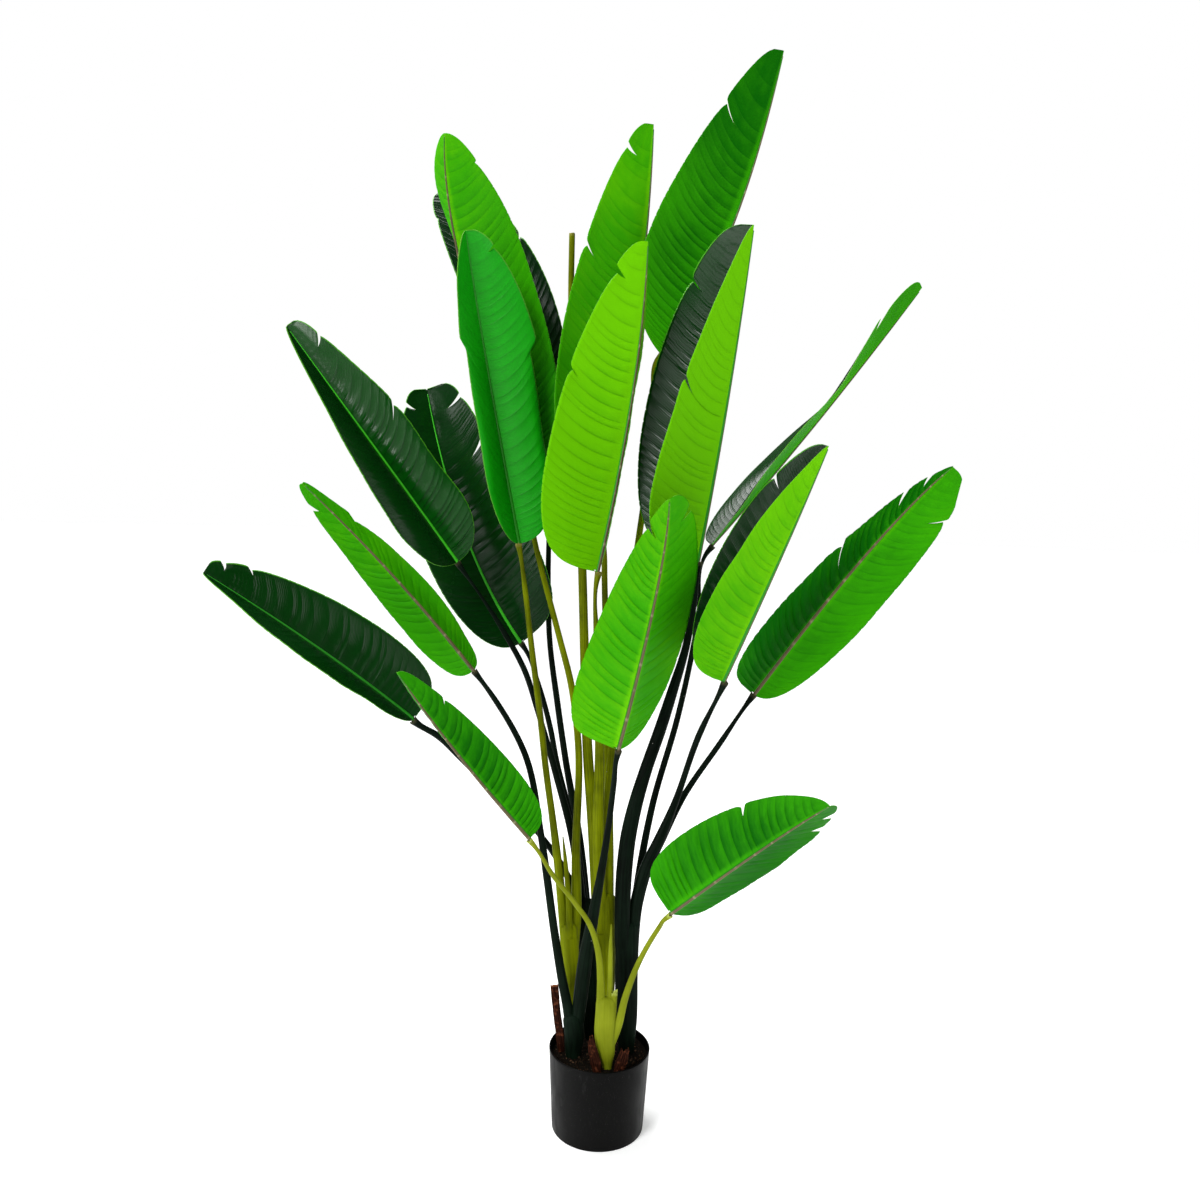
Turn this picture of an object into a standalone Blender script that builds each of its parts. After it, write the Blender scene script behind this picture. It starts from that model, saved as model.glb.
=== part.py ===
"""A tall artificial banana plant in a small black pot.

Seventeen paddle-shaped leaves stand on long leaf stems, which rise from six trunks. The trunks
stand in holes in a disc of potting soil, and their feet rest on the cement plug that weights the
pot. Units are metres, +Z is up, +X is to the right and -Y is the front. The origin is the centre
of the pot's flat bottom.
"""

import math
from dataclasses import dataclass

import bmesh
import bpy
import numpy as np

# Driving dimensions of the pot and what fills it
POT_HEIGHT = 0.140
POT_RIM_RADIUS = 0.085
POT_BASE_RADIUS = 0.0775
POT_WALL = 0.003
POT_FLOOR = 0.004
POT_EDGE = 0.0015
POT_SIDES = 48
CEMENT_TOP = 0.092
SOIL_TOP = 0.126
SOIL_LUMP = 0.0012
SOIL_SEED = 11

# Clearances
TOUCH_GAP = 0.0003
STEM_GAP = 0.0008
HOLE_CLEARANCE = 0.0006
HUSK_CLEARANCE = 0.0004

# Leaves
BLADE_THICKNESS = 0.0008
RIB_HALF_WIDTH = 0.004
RIB_DEPTH_AT_FOOT = 0.0055
RIB_DEPTH_AT_TIP = 0.0012
TIP_HALF_WIDTH = 0.0015
VEIN_LEAD = 0.19
VEIN_SWEEP = 0.55
OUTLINE_TAPER = 0.2
OUTLINE_SAMPLES = 101
OPEN_FROM = 0.65
PLEAT_HEIGHT = 0.0010
BLADE_ROWS = 13
ROLL_SPREAD = 0.25

# Stems
STEM_SIDES = 8
RING_SPACING = 0.055
TRUNK_FLATNESS = 0.62
STEM_DROP = 0.0022
SHEATH_LENGTH = 0.010
SHEATH_SWELL = 1.25

LEFT, RIGHT = 0, 1


@dataclass
class Leaf:
    """One blade. Left and right are seen from above, looking from the foot to the tip."""

    name: str
    foot: tuple
    middle: tuple
    tip: tuple
    top: tuple  # the direction that the upper side faces
    half_width: tuple
    fold: tuple  # how far each half rises from flat, in degrees
    swell: tuple = (0.32, 0.32)  # power of the outline at the foot: small is broad at once
    point: tuple = (0.45, 0.45)  # power of the outline at the tip: small is blunt
    tip_open: tuple = (0.0, 0.0)  # share of the fold that is gone at the tip
    twist: float = 0.0  # turn of the blade from foot to tip, in degrees
    roll: tuple = ((0.0, 0.5), (0.0, 0.5))  # margin's roll in degrees, and the station it is at
    roll_from: float = 0.55  # where the roll begins between midrib and margin
    splits: tuple = ((), ())  # (station, depth, gap at the margin) on each half


LEAVES = (
    Leaf("leaf_top_right", (0.070, 0.080, 1.305), (0.176, 0.085, 1.502), (0.255, 0.090, 1.800),
         top=(-0.75, 0.60, 0.25), half_width=(0.099, 0.128), fold=(35, 35),
         swell=(0.55, 0.58), point=(0.45, 0.46), splits=((), ((0.90, 0.36, 0.006),))),
    Leaf("leaf_top_centre", (-0.015, 0.075, 1.095), (0.030, 0.075, 1.390), (0.045, 0.070, 1.670),
         top=(-0.80, 0.60, 0.10), half_width=(0.091, 0.123), fold=(35, 35),
         swell=(0.28, 0.36), point=(0.45, 0.42),
         splits=((), ((0.71, 0.15, 0.004), (0.965, 0.40, 0.005)))),
    Leaf("leaf_top_left", (-0.160, 0.080, 1.105), (-0.265, 0.080, 1.435), (-0.290, 0.050, 1.640),
         top=(0.75, 0.65, 0.20), half_width=(0.119, 0.084), fold=(35, 35),
         swell=(0.36, 0.36), point=(0.44, 0.50), tip_open=(0.3, 0.95),
         splits=(((0.92, 0.18, 0.004),), ())),
    Leaf("leaf_top_left_rear", (-0.120, 0.190, 1.110), (-0.215, 0.270, 1.425),
         (-0.340, 0.360, 1.645),
         top=(0.00, -0.95, 0.30), half_width=(0.068, 0.090), fold=(15, 15),
         swell=(0.60, 0.60), point=(0.28, 0.45),
         splits=(((0.93, 0.40, 0.005),), ((0.75, 0.12, 0.004),))),
    Leaf("leaf_upper_left", (-0.155, 0.020, 0.985), (-0.215, 0.020, 1.280),
         (-0.245, -0.020, 1.470),
         top=(0.55, -0.85, 0.05), half_width=(0.070, 0.091), fold=(30, 30),
         swell=(0.45, 0.40), point=(0.50, 0.38), roll=((-35, 0.30), (-55, 0.30)),
         roll_from=0.79,
         splits=((), ((0.94, 0.15, 0.003),))),
    Leaf("leaf_centre", (-0.025, -0.020, 0.945), (0.020, -0.060, 1.215), (0.035, -0.120, 1.435),
         top=(-0.75, 0.60, 0.20), half_width=(0.091, 0.120), fold=(35, 35),
         point=(0.45, 0.44), splits=((), ((0.65, 0.12, 0.004), (0.955, 0.28, 0.004)))),
    Leaf("leaf_upper_right", (0.135, -0.020, 0.965), (0.170, -0.040, 1.220),
         (0.194, -0.080, 1.474),
         top=(-0.95, -0.25, 0.10), half_width=(0.123, 0.138), fold=(60, 60),
         swell=(0.36, 0.30), point=(0.38, 0.62),
         splits=(((0.90, 0.20, 0.005),), ((0.60, 0.16, 0.004),))),
    Leaf("leaf_right_rear", (0.165, 0.060, 0.990), (0.335, 0.080, 1.200), (0.505, 0.100, 1.430),
         top=(-0.776, -0.105, 0.617), half_width=(0.072, 0.072), fold=(6, 6),
         point=(0.35, 0.28), tip_open=(-1.6, -3.6), twist=-20,
         splits=((), ((0.90, 0.25, 0.005),))),
    Leaf("leaf_mid_right", (0.175, -0.090, 0.785), (0.250, -0.115, 0.980),
         (0.305, -0.155, 1.145),
         top=(-0.95, -0.05, 0.35), half_width=(0.085, 0.096), fold=(60, 60),
         swell=(0.30, 0.32), point=(0.28, 0.62), splits=(((0.86, 0.22, 0.005),), ())),
    Leaf("leaf_far_right", (0.240, 0.020, 0.745), (0.410, 0.000, 0.985), (0.520, -0.060, 1.125),
         top=(0.40, 0.90, -0.10), half_width=(0.082, 0.081), fold=(35, 35),
         swell=(0.46, 0.18), point=(0.34, 0.70),
         splits=(((0.85, 0.35, 0.008),),
                 ((0.55, 0.25, 0.007), (0.84, 0.35, 0.008), (0.93, 0.40, 0.005)))),
    Leaf("leaf_front", (0.015, -0.100, 0.675), (0.060, -0.170, 0.915), (0.070, -0.260, 1.060),
         top=(-0.20, 0.90, 0.40), half_width=(0.096, 0.093), fold=(35, 35),
         swell=(0.46, 0.16), point=(0.46, 0.66),
         splits=(((0.92, 0.35, 0.005),), ((0.90, 0.35, 0.005),))),
    Leaf("leaf_low_right", (0.105, -0.100, 0.415), (0.235, -0.170, 0.550),
         (0.310, -0.250, 0.640),
         top=(0.10, 0.85, 0.50), half_width=(0.085, 0.087), fold=(28, 35),
         swell=(0.30, 0.22), point=(0.45, 0.50),
         splits=(((0.78, 0.20, 0.004), (0.90, 0.30, 0.005)), ((0.62, 0.22, 0.006),))),
    Leaf("leaf_far_left", (-0.310, -0.060, 0.705), (-0.455, -0.090, 0.820),
         (-0.610, -0.140, 0.935),
         top=(0.60, -0.45, 0.65), half_width=(0.074, 0.085), fold=(25, 35),
         swell=(0.60, 0.24), point=(0.50, 0.32), splits=((), ((0.86, 0.15, 0.004),))),
    Leaf("leaf_mid_left", (-0.260, 0.050, 0.950), (-0.375, 0.040, 1.105),
         (-0.530, 0.000, 1.320),
         top=(0.40, -0.90, 0.20), half_width=(0.078, 0.076), fold=(35, 35),
         swell=(0.40, 0.36), point=(0.60, 0.28),
         splits=((), ((0.68, 0.20, 0.006), (0.93, 0.30, 0.004)))),
    Leaf("leaf_lower_left", (-0.220, -0.030, 0.780), (-0.340, -0.070, 0.930),
         (-0.460, -0.150, 1.070),
         top=(-0.50, 0.85, -0.05), half_width=(0.058, 0.055), fold=(50, 50),
         roll=((-75, 0.45), (0, 0.5)), roll_from=0.62,
         splits=(((0.84, 0.35, 0.008),), ((0.95, 0.30, 0.004),))),
    Leaf("leaf_left_rear", (-0.155, 0.100, 0.810), (-0.265, 0.160, 1.000),
         (-0.350, 0.250, 1.255),
         top=(0.00, -0.95, 0.30), half_width=(0.084, 0.114), fold=(18, 18),
         swell=(0.45, 0.28), point=(0.26, 0.22),
         splits=(((0.90, 0.38, 0.006),), ((0.87, 0.38, 0.006),))),
    Leaf("leaf_low_left", (-0.120, -0.100, 0.530), (-0.220, -0.160, 0.670),
         (-0.300, -0.240, 0.810),
         top=(0.20, 0.80, 0.55), half_width=(0.054, 0.052), fold=(45, 45),
         splits=(((0.85, 0.15, 0.004),), ())),
)

STEM_COLOURS = {
    "light_stem": (0.20, 0.27, 0.035),
    "olive_stem": (0.14, 0.15, 0.005),
    "dark_stem": (0.012, 0.030, 0.018),
}

# Trunks. Each arm is a list of (x, y, z, half width); one that names a leaf runs on to its foot.
# The first arm is the trunk itself, which the others grow from.
ROOT_Z = CEMENT_TOP + TOUCH_GAP
TRUNKS = {
    "trunk_front": {
        "skin": "light_stem",
        "arms": (
            (None, ((0.013, -0.047, ROOT_Z, 0.0085), (0.013, -0.047, 0.134, 0.0085),
                    (0.012, -0.047, 0.152, 0.0135), (0.009, -0.047, 0.172, 0.0165),
                    (0.008, -0.047, 0.238, 0.0165))),
            ("leaf_low_left", ((0.002, -0.047, 0.195, 0.0095), (0.000, -0.047, 0.245, 0.0075),
                               (-0.002, -0.048, 0.285, 0.0058), (-0.008, -0.050, 0.332, 0.0050),
                               (-0.021, -0.054, 0.372, 0.0045),
                               (-0.047, -0.062, 0.413, 0.0042),
                               (-0.082, -0.078, 0.463, 0.0040))),
            ("leaf_low_right", ((0.015, -0.047, 0.160, 0.0075), (0.029, -0.047, 0.200, 0.0068),
                                (0.039, -0.048, 0.248, 0.0058), (0.051, -0.051, 0.289, 0.0050),
                                (0.061, -0.055, 0.317, 0.0046),
                                (0.075, -0.062, 0.350, 0.0043),
                                (0.090, -0.071, 0.381, 0.0040))),
            (None, ((0.014, -0.047, 0.220, 0.006), (0.014, -0.047, 0.262, 0.0045),
                    (0.013, -0.049, 0.330, 0.0035), (0.013, -0.051, 0.374, 0.001))),
            (None, ((0.019, -0.046, 0.205, 0.0068), (0.020, -0.046, 0.235, 0.0062),
                    (0.021, -0.046, 0.258, 0.0058))),
        ),
    },
    "trunk_left": {
        "skin": "dark_stem",
        "arms": (
            (None, ((-0.044, -0.012, ROOT_Z, 0.0125), (-0.044, -0.012, 0.128, 0.0125),
                    (-0.043, -0.012, 0.165, 0.0165), (-0.046, -0.012, 0.190, 0.0165))),
            ("leaf_lower_left", ((-0.047, -0.012, 0.155, 0.0095), (-0.056, -0.012, 0.215, 0.0088),
                                 (-0.064, -0.012, 0.252, 0.0082),
                                 (-0.079, -0.018, 0.337, 0.0070),
                                 (-0.094, -0.030, 0.441, 0.0064),
                                 (-0.105, -0.040, 0.516, 0.0056),
                                 (-0.135, -0.045, 0.654, 0.0050),
                                 (-0.181, -0.038, 0.732, 0.0045))),
            ("leaf_front", ((-0.041, -0.012, 0.155, 0.0100), (-0.035, -0.012, 0.221, 0.0120),
                            (-0.028, -0.016, 0.296, 0.0122), (-0.020, -0.024, 0.355, 0.0105),
                            (-0.007, -0.035, 0.445, 0.0070), (0.003, -0.052, 0.529, 0.0052),
                            (0.010, -0.078, 0.615, 0.0045))),
        ),
    },
    "trunk_back": {
        "skin": "dark_stem",
        "arms": (
            (None, ((-0.012, 0.050, ROOT_Z, 0.0130), (-0.012, 0.050, 0.128, 0.0130),
                    (-0.016, 0.050, 0.176, 0.0175), (-0.022, 0.050, 0.266, 0.0185),
                    (-0.030, 0.050, 0.365, 0.0160))),
            ("leaf_mid_left", ((-0.032, 0.050, 0.320, 0.0095), (-0.055, 0.052, 0.479, 0.0070),
                               (-0.087, 0.054, 0.592, 0.0058), (-0.120, 0.054, 0.699, 0.005),
                               (-0.144, 0.054, 0.769, 0.005), (-0.178, 0.054, 0.830, 0.0045))),
            ("leaf_left_rear", ((-0.028, 0.055, 0.320, 0.0090), (-0.052, 0.070, 0.474, 0.0070),
                                (-0.069, 0.076, 0.540, 0.0058), (-0.088, 0.082, 0.610, 0.005),
                                (-0.100, 0.086, 0.665, 0.005), (-0.122, 0.092, 0.738, 0.0045))),
            ("leaf_top_left_rear", ((-0.024, 0.058, 0.310, 0.0090),
                                    (-0.045, 0.090, 0.470, 0.0068),
                                    (-0.072, 0.115, 0.597, 0.0058),
                                    (-0.090, 0.130, 0.698, 0.0055),
                                    (-0.108, 0.150, 0.813, 0.005),
                                    (-0.113, 0.160, 0.900, 0.005),
                                    (-0.115, 0.175, 1.023, 0.0045))),
            ("leaf_far_left", ((-0.030, 0.050, 0.310, 0.0085), (-0.054, 0.048, 0.398, 0.0065),
                               (-0.091, 0.040, 0.464, 0.0055), (-0.120, 0.026, 0.505, 0.005),
                               (-0.207, -0.022, 0.603, 0.005), (-0.235, -0.036, 0.638, 0.0065),
                               (-0.274, -0.050, 0.678, 0.0055))),
        ),
    },
    "trunk_right": {
        "skin": "dark_stem",
        "arms": (
            (None, ((0.046, 0.006, ROOT_Z, 0.0130), (0.046, 0.006, 0.128, 0.0130),
                    (0.045, 0.006, 0.180, 0.0175), (0.042, 0.006, 0.272, 0.0190),
                    (0.043, 0.006, 0.345, 0.0180))),
            ("leaf_upper_right", ((0.038, 0.004, 0.240, 0.0110), (0.032, -0.002, 0.380, 0.0130),
                                  (0.033, -0.006, 0.449, 0.0136), (0.038, -0.010, 0.510, 0.0134),
                                  (0.049, -0.014, 0.570, 0.0120),
                                  (0.062, -0.016, 0.620, 0.0108),
                                  (0.085, -0.018, 0.695, 0.0100), (0.103, -0.020, 0.760, 0.0085),
                                  (0.119, -0.020, 0.820, 0.0065), (0.131, -0.020, 0.900, 0.005))),
            ("leaf_mid_right", ((0.049, 0.006, 0.270, 0.0100), (0.056, 0.008, 0.390, 0.0110),
                                (0.070, 0.006, 0.450, 0.0108), (0.090, 0.001, 0.500, 0.0095),
                                (0.110, -0.012, 0.560, 0.0062),
                                (0.145, -0.055, 0.695, 0.0050))),
            ("leaf_far_right", ((0.050, 0.006, 0.270, 0.0100), (0.057, 0.009, 0.390, 0.0105),
                                (0.071, 0.008, 0.450, 0.0100), (0.093, 0.006, 0.500, 0.0085),
                                (0.127, 0.006, 0.572, 0.0056),
                                (0.186, 0.014, 0.663, 0.0048))),
            ("leaf_right_rear", ((0.048, 0.008, 0.270, 0.0090), (0.056, 0.026, 0.400, 0.0070),
                                 (0.078, 0.044, 0.540, 0.0058), (0.118, 0.052, 0.700, 0.005),
                                 (0.146, 0.056, 0.860, 0.0045))),
        ),
    },
    "trunk_olive_left": {
        "skin": "olive_stem",
        "arms": (
            (None, ((-0.046, 0.024, ROOT_Z, 0.0085), (-0.046, 0.024, 0.128, 0.0085),
                    (-0.048, 0.022, 0.183, 0.0105), (-0.052, 0.020, 0.279, 0.0142),
                    (-0.057, 0.020, 0.335, 0.0145))),
            ("leaf_upper_left", ((-0.060, 0.020, 0.280, 0.0080), (-0.079, 0.018, 0.452, 0.0072),
                                 (-0.089, 0.016, 0.524, 0.0062), (-0.103, 0.014, 0.615, 0.0056),
                                 (-0.113, 0.012, 0.696, 0.0055), (-0.132, 0.014, 0.826, 0.0048),
                                 (-0.142, 0.018, 0.900, 0.0045))),
            ("leaf_top_left", ((-0.051, 0.021, 0.270, 0.0095), (-0.046, 0.026, 0.360, 0.0094),
                               (-0.049, 0.030, 0.463, 0.0074), (-0.050, 0.034, 0.652, 0.0058),
                               (-0.065, 0.040, 0.753, 0.0055), (-0.085, 0.046, 0.824, 0.005),
                               (-0.130, 0.058, 0.980, 0.0045))),
            (None, ((-0.055, 0.014, 0.320, 0.0060), (-0.060, 0.013, 0.400, 0.0048),
                    (-0.067, 0.012, 0.465, 0.0030), (-0.071, 0.012, 0.497, 0.0010))),
        ),
    },
    "trunk_olive_centre": {
        "skin": "olive_stem",
        "arms": (
            (None, ((0.010, 0.018, ROOT_Z, 0.0105), (0.010, 0.018, 0.128, 0.0105),
                    (0.010, 0.020, 0.192, 0.0125), (0.008, 0.020, 0.279, 0.0160),
                    (0.001, 0.022, 0.386, 0.0195))),
            (None, ((-0.006, 0.022, 0.330, 0.0110), (-0.020, 0.030, 0.500, 0.0098),
                    (-0.034, 0.040, 0.640, 0.0085), (-0.044, 0.050, 0.808, 0.0075),
                    (-0.051, 0.056, 0.939, 0.0070), (-0.082, 0.078, 1.393, 0.0050),
                    (-0.083, 0.082, 1.497, 0.0050))),
            ("leaf_centre", ((0.000, 0.016, 0.330, 0.0105), (-0.012, 0.010, 0.510, 0.0095),
                             (-0.014, 0.002, 0.650, 0.0075), (-0.024, -0.010, 0.833, 0.005))),
            ("leaf_top_centre", ((0.004, 0.024, 0.330, 0.0100), (0.002, 0.044, 0.560, 0.0078),
                                 (-0.004, 0.060, 0.760, 0.006), (-0.014, 0.072, 0.950, 0.005))),
            ("leaf_top_right", ((0.009, 0.022, 0.330, 0.0105), (0.006, 0.026, 0.450, 0.0100),
                                (0.004, 0.032, 0.566, 0.0082), (0.012, 0.050, 0.700, 0.0062),
                                (0.034, 0.070, 0.930, 0.0055),
                                (0.050, 0.080, 1.120, 0.005), (0.055, 0.080, 1.230, 0.0045))),
        ),
    },
}

# Scraps of bark sheath that stand in the soil: (x, y, z, half width) up the middle of each
HUSK_FLATNESS = 0.22
HUSK_FOOT = 0.118
HUSKS = {
    "husk_left": ((-0.064, 0.000, HUSK_FOOT, 0.004), (-0.067, 0.000, 0.150, 0.0062),
                  (-0.074, 0.000, 0.200, 0.0066), (-0.079, 0.001, 0.245, 0.0062)),
    "husk_centre": ((-0.001, -0.059, HUSK_FOOT, 0.004), (-0.006, -0.060, 0.142, 0.0088),
                    (-0.012, -0.060, 0.168, 0.0068), (-0.016, -0.059, 0.190, 0.0035)),
    "husk_right": ((0.027, -0.058, HUSK_FOOT, 0.004), (0.034, -0.059, 0.138, 0.0085),
                   (0.040, -0.059, 0.158, 0.0085), (0.042, -0.059, 0.172, 0.0050)),
}


def clear_scene():
    """Empty the file of objects and of the data that they leave behind."""
    for item in list(bpy.data.objects):
        bpy.data.objects.remove(item, do_unlink=True)
    for mesh in list(bpy.data.meshes):
        bpy.data.meshes.remove(mesh)


def finish(name, colour, roughness, metallic=0.0):
    """A plain surface material of one colour."""
    material = bpy.data.materials.new(name)
    material.use_nodes = True
    shader = material.node_tree.nodes["Principled BSDF"]
    shader.inputs["Base Color"].default_value = (*colour, 1.0)
    shader.inputs["Roughness"].default_value = roughness
    shader.inputs["Metallic"].default_value = metallic
    material.diffuse_color = (*colour, 1.0)
    return material


def add_object(name, mesh, material):
    """Link a mesh into the scene as a named object with one material."""
    item = bpy.data.objects.new(name, mesh)
    bpy.context.scene.collection.objects.link(item)
    if material is not None:
        mesh.materials.append(material)
    return item


def mesh_from(name, points, faces):
    """A mesh from points and faces."""
    mesh = bpy.data.meshes.new(name)
    mesh.from_pydata([tuple(point) for point in points], [], [tuple(face) for face in faces])
    mesh.validate()
    mesh.update()
    return mesh


def face_outwards(mesh):
    """Point every face of a closed mesh outwards."""
    work = bmesh.new()
    work.from_mesh(mesh)
    bmesh.ops.recalc_face_normals(work, faces=work.faces)
    work.to_mesh(mesh)
    work.free()


def turned(name, profile, sides):
    """A closed solid of revolution. The profile's (radius, z) points start and end on the axis."""
    work = bmesh.new()
    points = [work.verts.new((radius, 0.0, z)) for radius, z in profile]
    edges = [work.edges.new(pair) for pair in zip(points[:-1], points[1:])]
    bmesh.ops.spin(work, geom=points + edges, cent=(0, 0, 0), axis=(0, 0, 1),
                   angle=2 * math.pi, steps=sides, use_merge=True)
    bmesh.ops.remove_doubles(work, verts=work.verts, dist=1e-6)
    bmesh.ops.recalc_face_normals(work, faces=work.faces)
    mesh = bpy.data.meshes.new(name)
    work.to_mesh(mesh)
    work.free()
    return mesh


def boolean(item, operation, cutter_objects):
    """Apply one exact Boolean of a collection of objects to an object, then remove them."""
    group = bpy.data.collections.new(item.name + "_tools")
    bpy.context.scene.collection.children.link(group)
    for tool in cutter_objects:
        bpy.context.scene.collection.objects.unlink(tool)
        group.objects.link(tool)
        tool.hide_render = True
        tool.display_type = "WIRE"
    modifier = item.modifiers.new("Boolean", "BOOLEAN")
    modifier.operation = operation
    modifier.solver = "EXACT"
    modifier.operand_type = "COLLECTION"
    modifier.collection = group
    graph = bpy.context.evaluated_depsgraph_get()
    result = bpy.data.meshes.new_from_object(item.evaluated_get(graph))
    item.modifiers.clear()
    item.data = result
    for tool in list(group.objects):
        bpy.data.objects.remove(tool, do_unlink=True)
    bpy.data.collections.remove(group)


def unit(vectors):
    """Vectors scaled to a length of one."""
    vectors = np.asarray(vectors, dtype=float)
    return vectors / np.linalg.norm(vectors, axis=-1, keepdims=True)


def pot_inside(z):
    """Radius of the pot's inner wall at height z."""
    slope = (POT_RIM_RADIUS - POT_BASE_RADIUS) / POT_HEIGHT
    return POT_BASE_RADIUS + slope * z - POT_WALL


def make_pot():
    """The pot: a thin tapered wall on a flat floor."""
    profile = (
        (0.0, 0.0),
        (POT_BASE_RADIUS - POT_EDGE, 0.0),
        (POT_BASE_RADIUS, POT_EDGE),
        (POT_RIM_RADIUS, POT_HEIGHT - POT_EDGE / 2),
        (POT_RIM_RADIUS - POT_WALL / 2, POT_HEIGHT),
        (pot_inside(POT_HEIGHT), POT_HEIGHT - POT_EDGE / 2),
        (pot_inside(POT_FLOOR), POT_FLOOR),
        (0.0, POT_FLOOR),
    )
    mesh = turned("pot", profile, POT_SIDES)
    mesh.shade_smooth()
    mesh.set_sharp_from_angle(angle=math.radians(40))
    return add_object("pot", mesh, finish("black_plastic", (0.012, 0.012, 0.012), 0.35))


def make_cement():
    """The cement plug that fills the lower pot and keeps the tall plant from tipping."""
    bottom = POT_FLOOR + TOUCH_GAP
    profile = (
        (0.0, bottom),
        (pot_inside(bottom) - TOUCH_GAP, bottom),
        (pot_inside(CEMENT_TOP) - TOUCH_GAP, CEMENT_TOP),
        (0.0, CEMENT_TOP),
    )
    mesh = turned("cement_plug", profile, POT_SIDES)
    return add_object("cement_plug", mesh, finish("cement", (0.30, 0.29, 0.27), 0.9))


def root_holes():
    """Round cutters for the trunks and flat slots for the husks, where they enter the soil."""
    cutters = []
    depth = SOIL_TOP - CEMENT_TOP + 0.02
    middle = (SOIL_TOP + CEMENT_TOP) / 2
    for name, trunk in TRUNKS.items():
        x, y, _, radius = trunk["arms"][0][1][0]
        work = bmesh.new()
        bmesh.ops.create_cone(work, cap_ends=True, segments=24, depth=depth,
                              radius1=radius + HOLE_CLEARANCE, radius2=radius + HOLE_CLEARANCE)
        bmesh.ops.translate(work, verts=work.verts, vec=(x, y, middle))
        mesh = bpy.data.meshes.new(name + "_hole")
        work.to_mesh(mesh)
        work.free()
        cutters.append(add_object(name + "_hole", mesh, None))
    for name, path in HUSKS.items():
        grown = [(x, y, z, width + HUSK_CLEARANCE) for x, y, z, width in path]
        low = grown[0]
        grown[0] = (low[0], low[1], low[2] - TOUCH_GAP, low[3])
        flat = HUSK_FLATNESS + HUSK_CLEARANCE / path[0][3]
        cutters.append(add_object(name + "_slot", tube(name + "_slot", grown, flat), None))
    return cutters


def make_soil():
    """A disc of lumpy potting soil with a plain hole for each trunk and husk."""
    rng = np.random.default_rng(SOIL_SEED)
    rings = np.array([0.25, 0.45, 0.62, 0.76, 0.88])
    sectors = 24
    angle = np.arange(sectors) * 2 * math.pi / sectors
    top_radius = pot_inside(SOIL_TOP) - TOUCH_GAP - SOIL_LUMP / 4
    bottom = CEMENT_TOP + TOUCH_GAP
    radii = np.concatenate([rings * top_radius, [top_radius, pot_inside(bottom) - TOUCH_GAP]])
    heights = np.full((len(radii), sectors), SOIL_TOP)
    heights[:-2] += rng.uniform(-SOIL_LUMP, SOIL_LUMP, (len(rings), sectors))
    heights[-1] = bottom
    x = radii[:, None] * np.cos(angle)
    y = radii[:, None] * np.sin(angle)
    points = np.stack([x, y, heights], axis=-1).reshape(-1, 3)
    points = np.vstack([points, [0.0, 0.0, SOIL_TOP], [0.0, 0.0, bottom]])
    top, low = len(points) - 2, len(points) - 1
    faces = []
    for sector in range(sectors):
        after = (sector + 1) % sectors
        faces.append((top, sector, after))
        for ring in range(len(radii) - 1):
            here, outer = ring * sectors, (ring + 1) * sectors
            faces.append((here + sector, outer + sector, outer + after))
            faces.append((here + sector, outer + after, here + after))
        last = (len(radii) - 1) * sectors
        faces.append((low, last + after, last + sector))
    mesh = mesh_from("soil", points, faces)
    face_outwards(mesh)
    item = add_object("soil", mesh, finish("potting_soil", (0.012, 0.010, 0.008), 0.95))
    boolean(item, "DIFFERENCE", root_holes())
    return item


def smooth_path(points):
    """A smooth curve through (x, y, z, half width) rows, sampled about every RING_SPACING.

    Each span is a cubic whose end slopes come from the neighbouring points, by chord length.
    """
    points = np.asarray(points, dtype=float)
    span = np.linalg.norm(np.diff(points[:, :3], axis=0), axis=1)
    knots = np.concatenate([[0.0], np.cumsum(span)])
    slope = np.gradient(points, knots, axis=0)
    runs = []
    for index, length in enumerate(span):
        t = np.linspace(0, 1, max(1, round(length / RING_SPACING)), endpoint=False)[:, None]
        runs.append(points[index] * (2 * t**3 - 3 * t**2 + 1)
                    + slope[index] * length * (t**3 - 2 * t**2 + t)
                    + points[index + 1] * (3 * t**2 - 2 * t**3)
                    + slope[index + 1] * length * (t**3 - t**2))
    return np.vstack(runs + [points[-1:]])


def tube(name, path, flatness, end_direction=None):
    """A closed tube along (x, y, z, half width) rows, flattened from front to back.

    Each ring stands square to the path. Its long axis is the part of +X that is square to the
    path, and its short axis is the long one's length times the flatness.
    """
    path = np.asarray(path, dtype=float)
    centre, half = path[:, :3], path[:, 3:]
    along = unit(np.gradient(centre, axis=0))
    if end_direction is not None:
        along[-1] = end_direction
    wide = unit(np.array([1.0, 0.0, 0.0]) - along * along[:, :1])
    deep = np.cross(along, wide)
    angle = (np.arange(STEM_SIDES) + 0.5) * 2 * math.pi / STEM_SIDES
    ring = (wide[:, None] * np.cos(angle)[None, :, None]
            + deep[:, None] * np.sin(angle)[None, :, None] * np.asarray(flatness).reshape(-1, 1, 1))
    points = (centre[:, None] + ring * half[:, None]).reshape(-1, 3)
    faces = []
    for row in range(len(path) - 1):
        for side in range(STEM_SIDES):
            after = (side + 1) % STEM_SIDES
            low, high = row * STEM_SIDES, (row + 1) * STEM_SIDES
            faces.append((low + side, low + after, high + after))
            faces.append((low + side, high + after, high + side))
    faces.append(tuple(reversed(range(STEM_SIDES))))
    faces.append(tuple(range(len(points) - STEM_SIDES, len(points))))
    mesh = mesh_from(name, points, faces)
    face_outwards(mesh)
    return mesh


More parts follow.
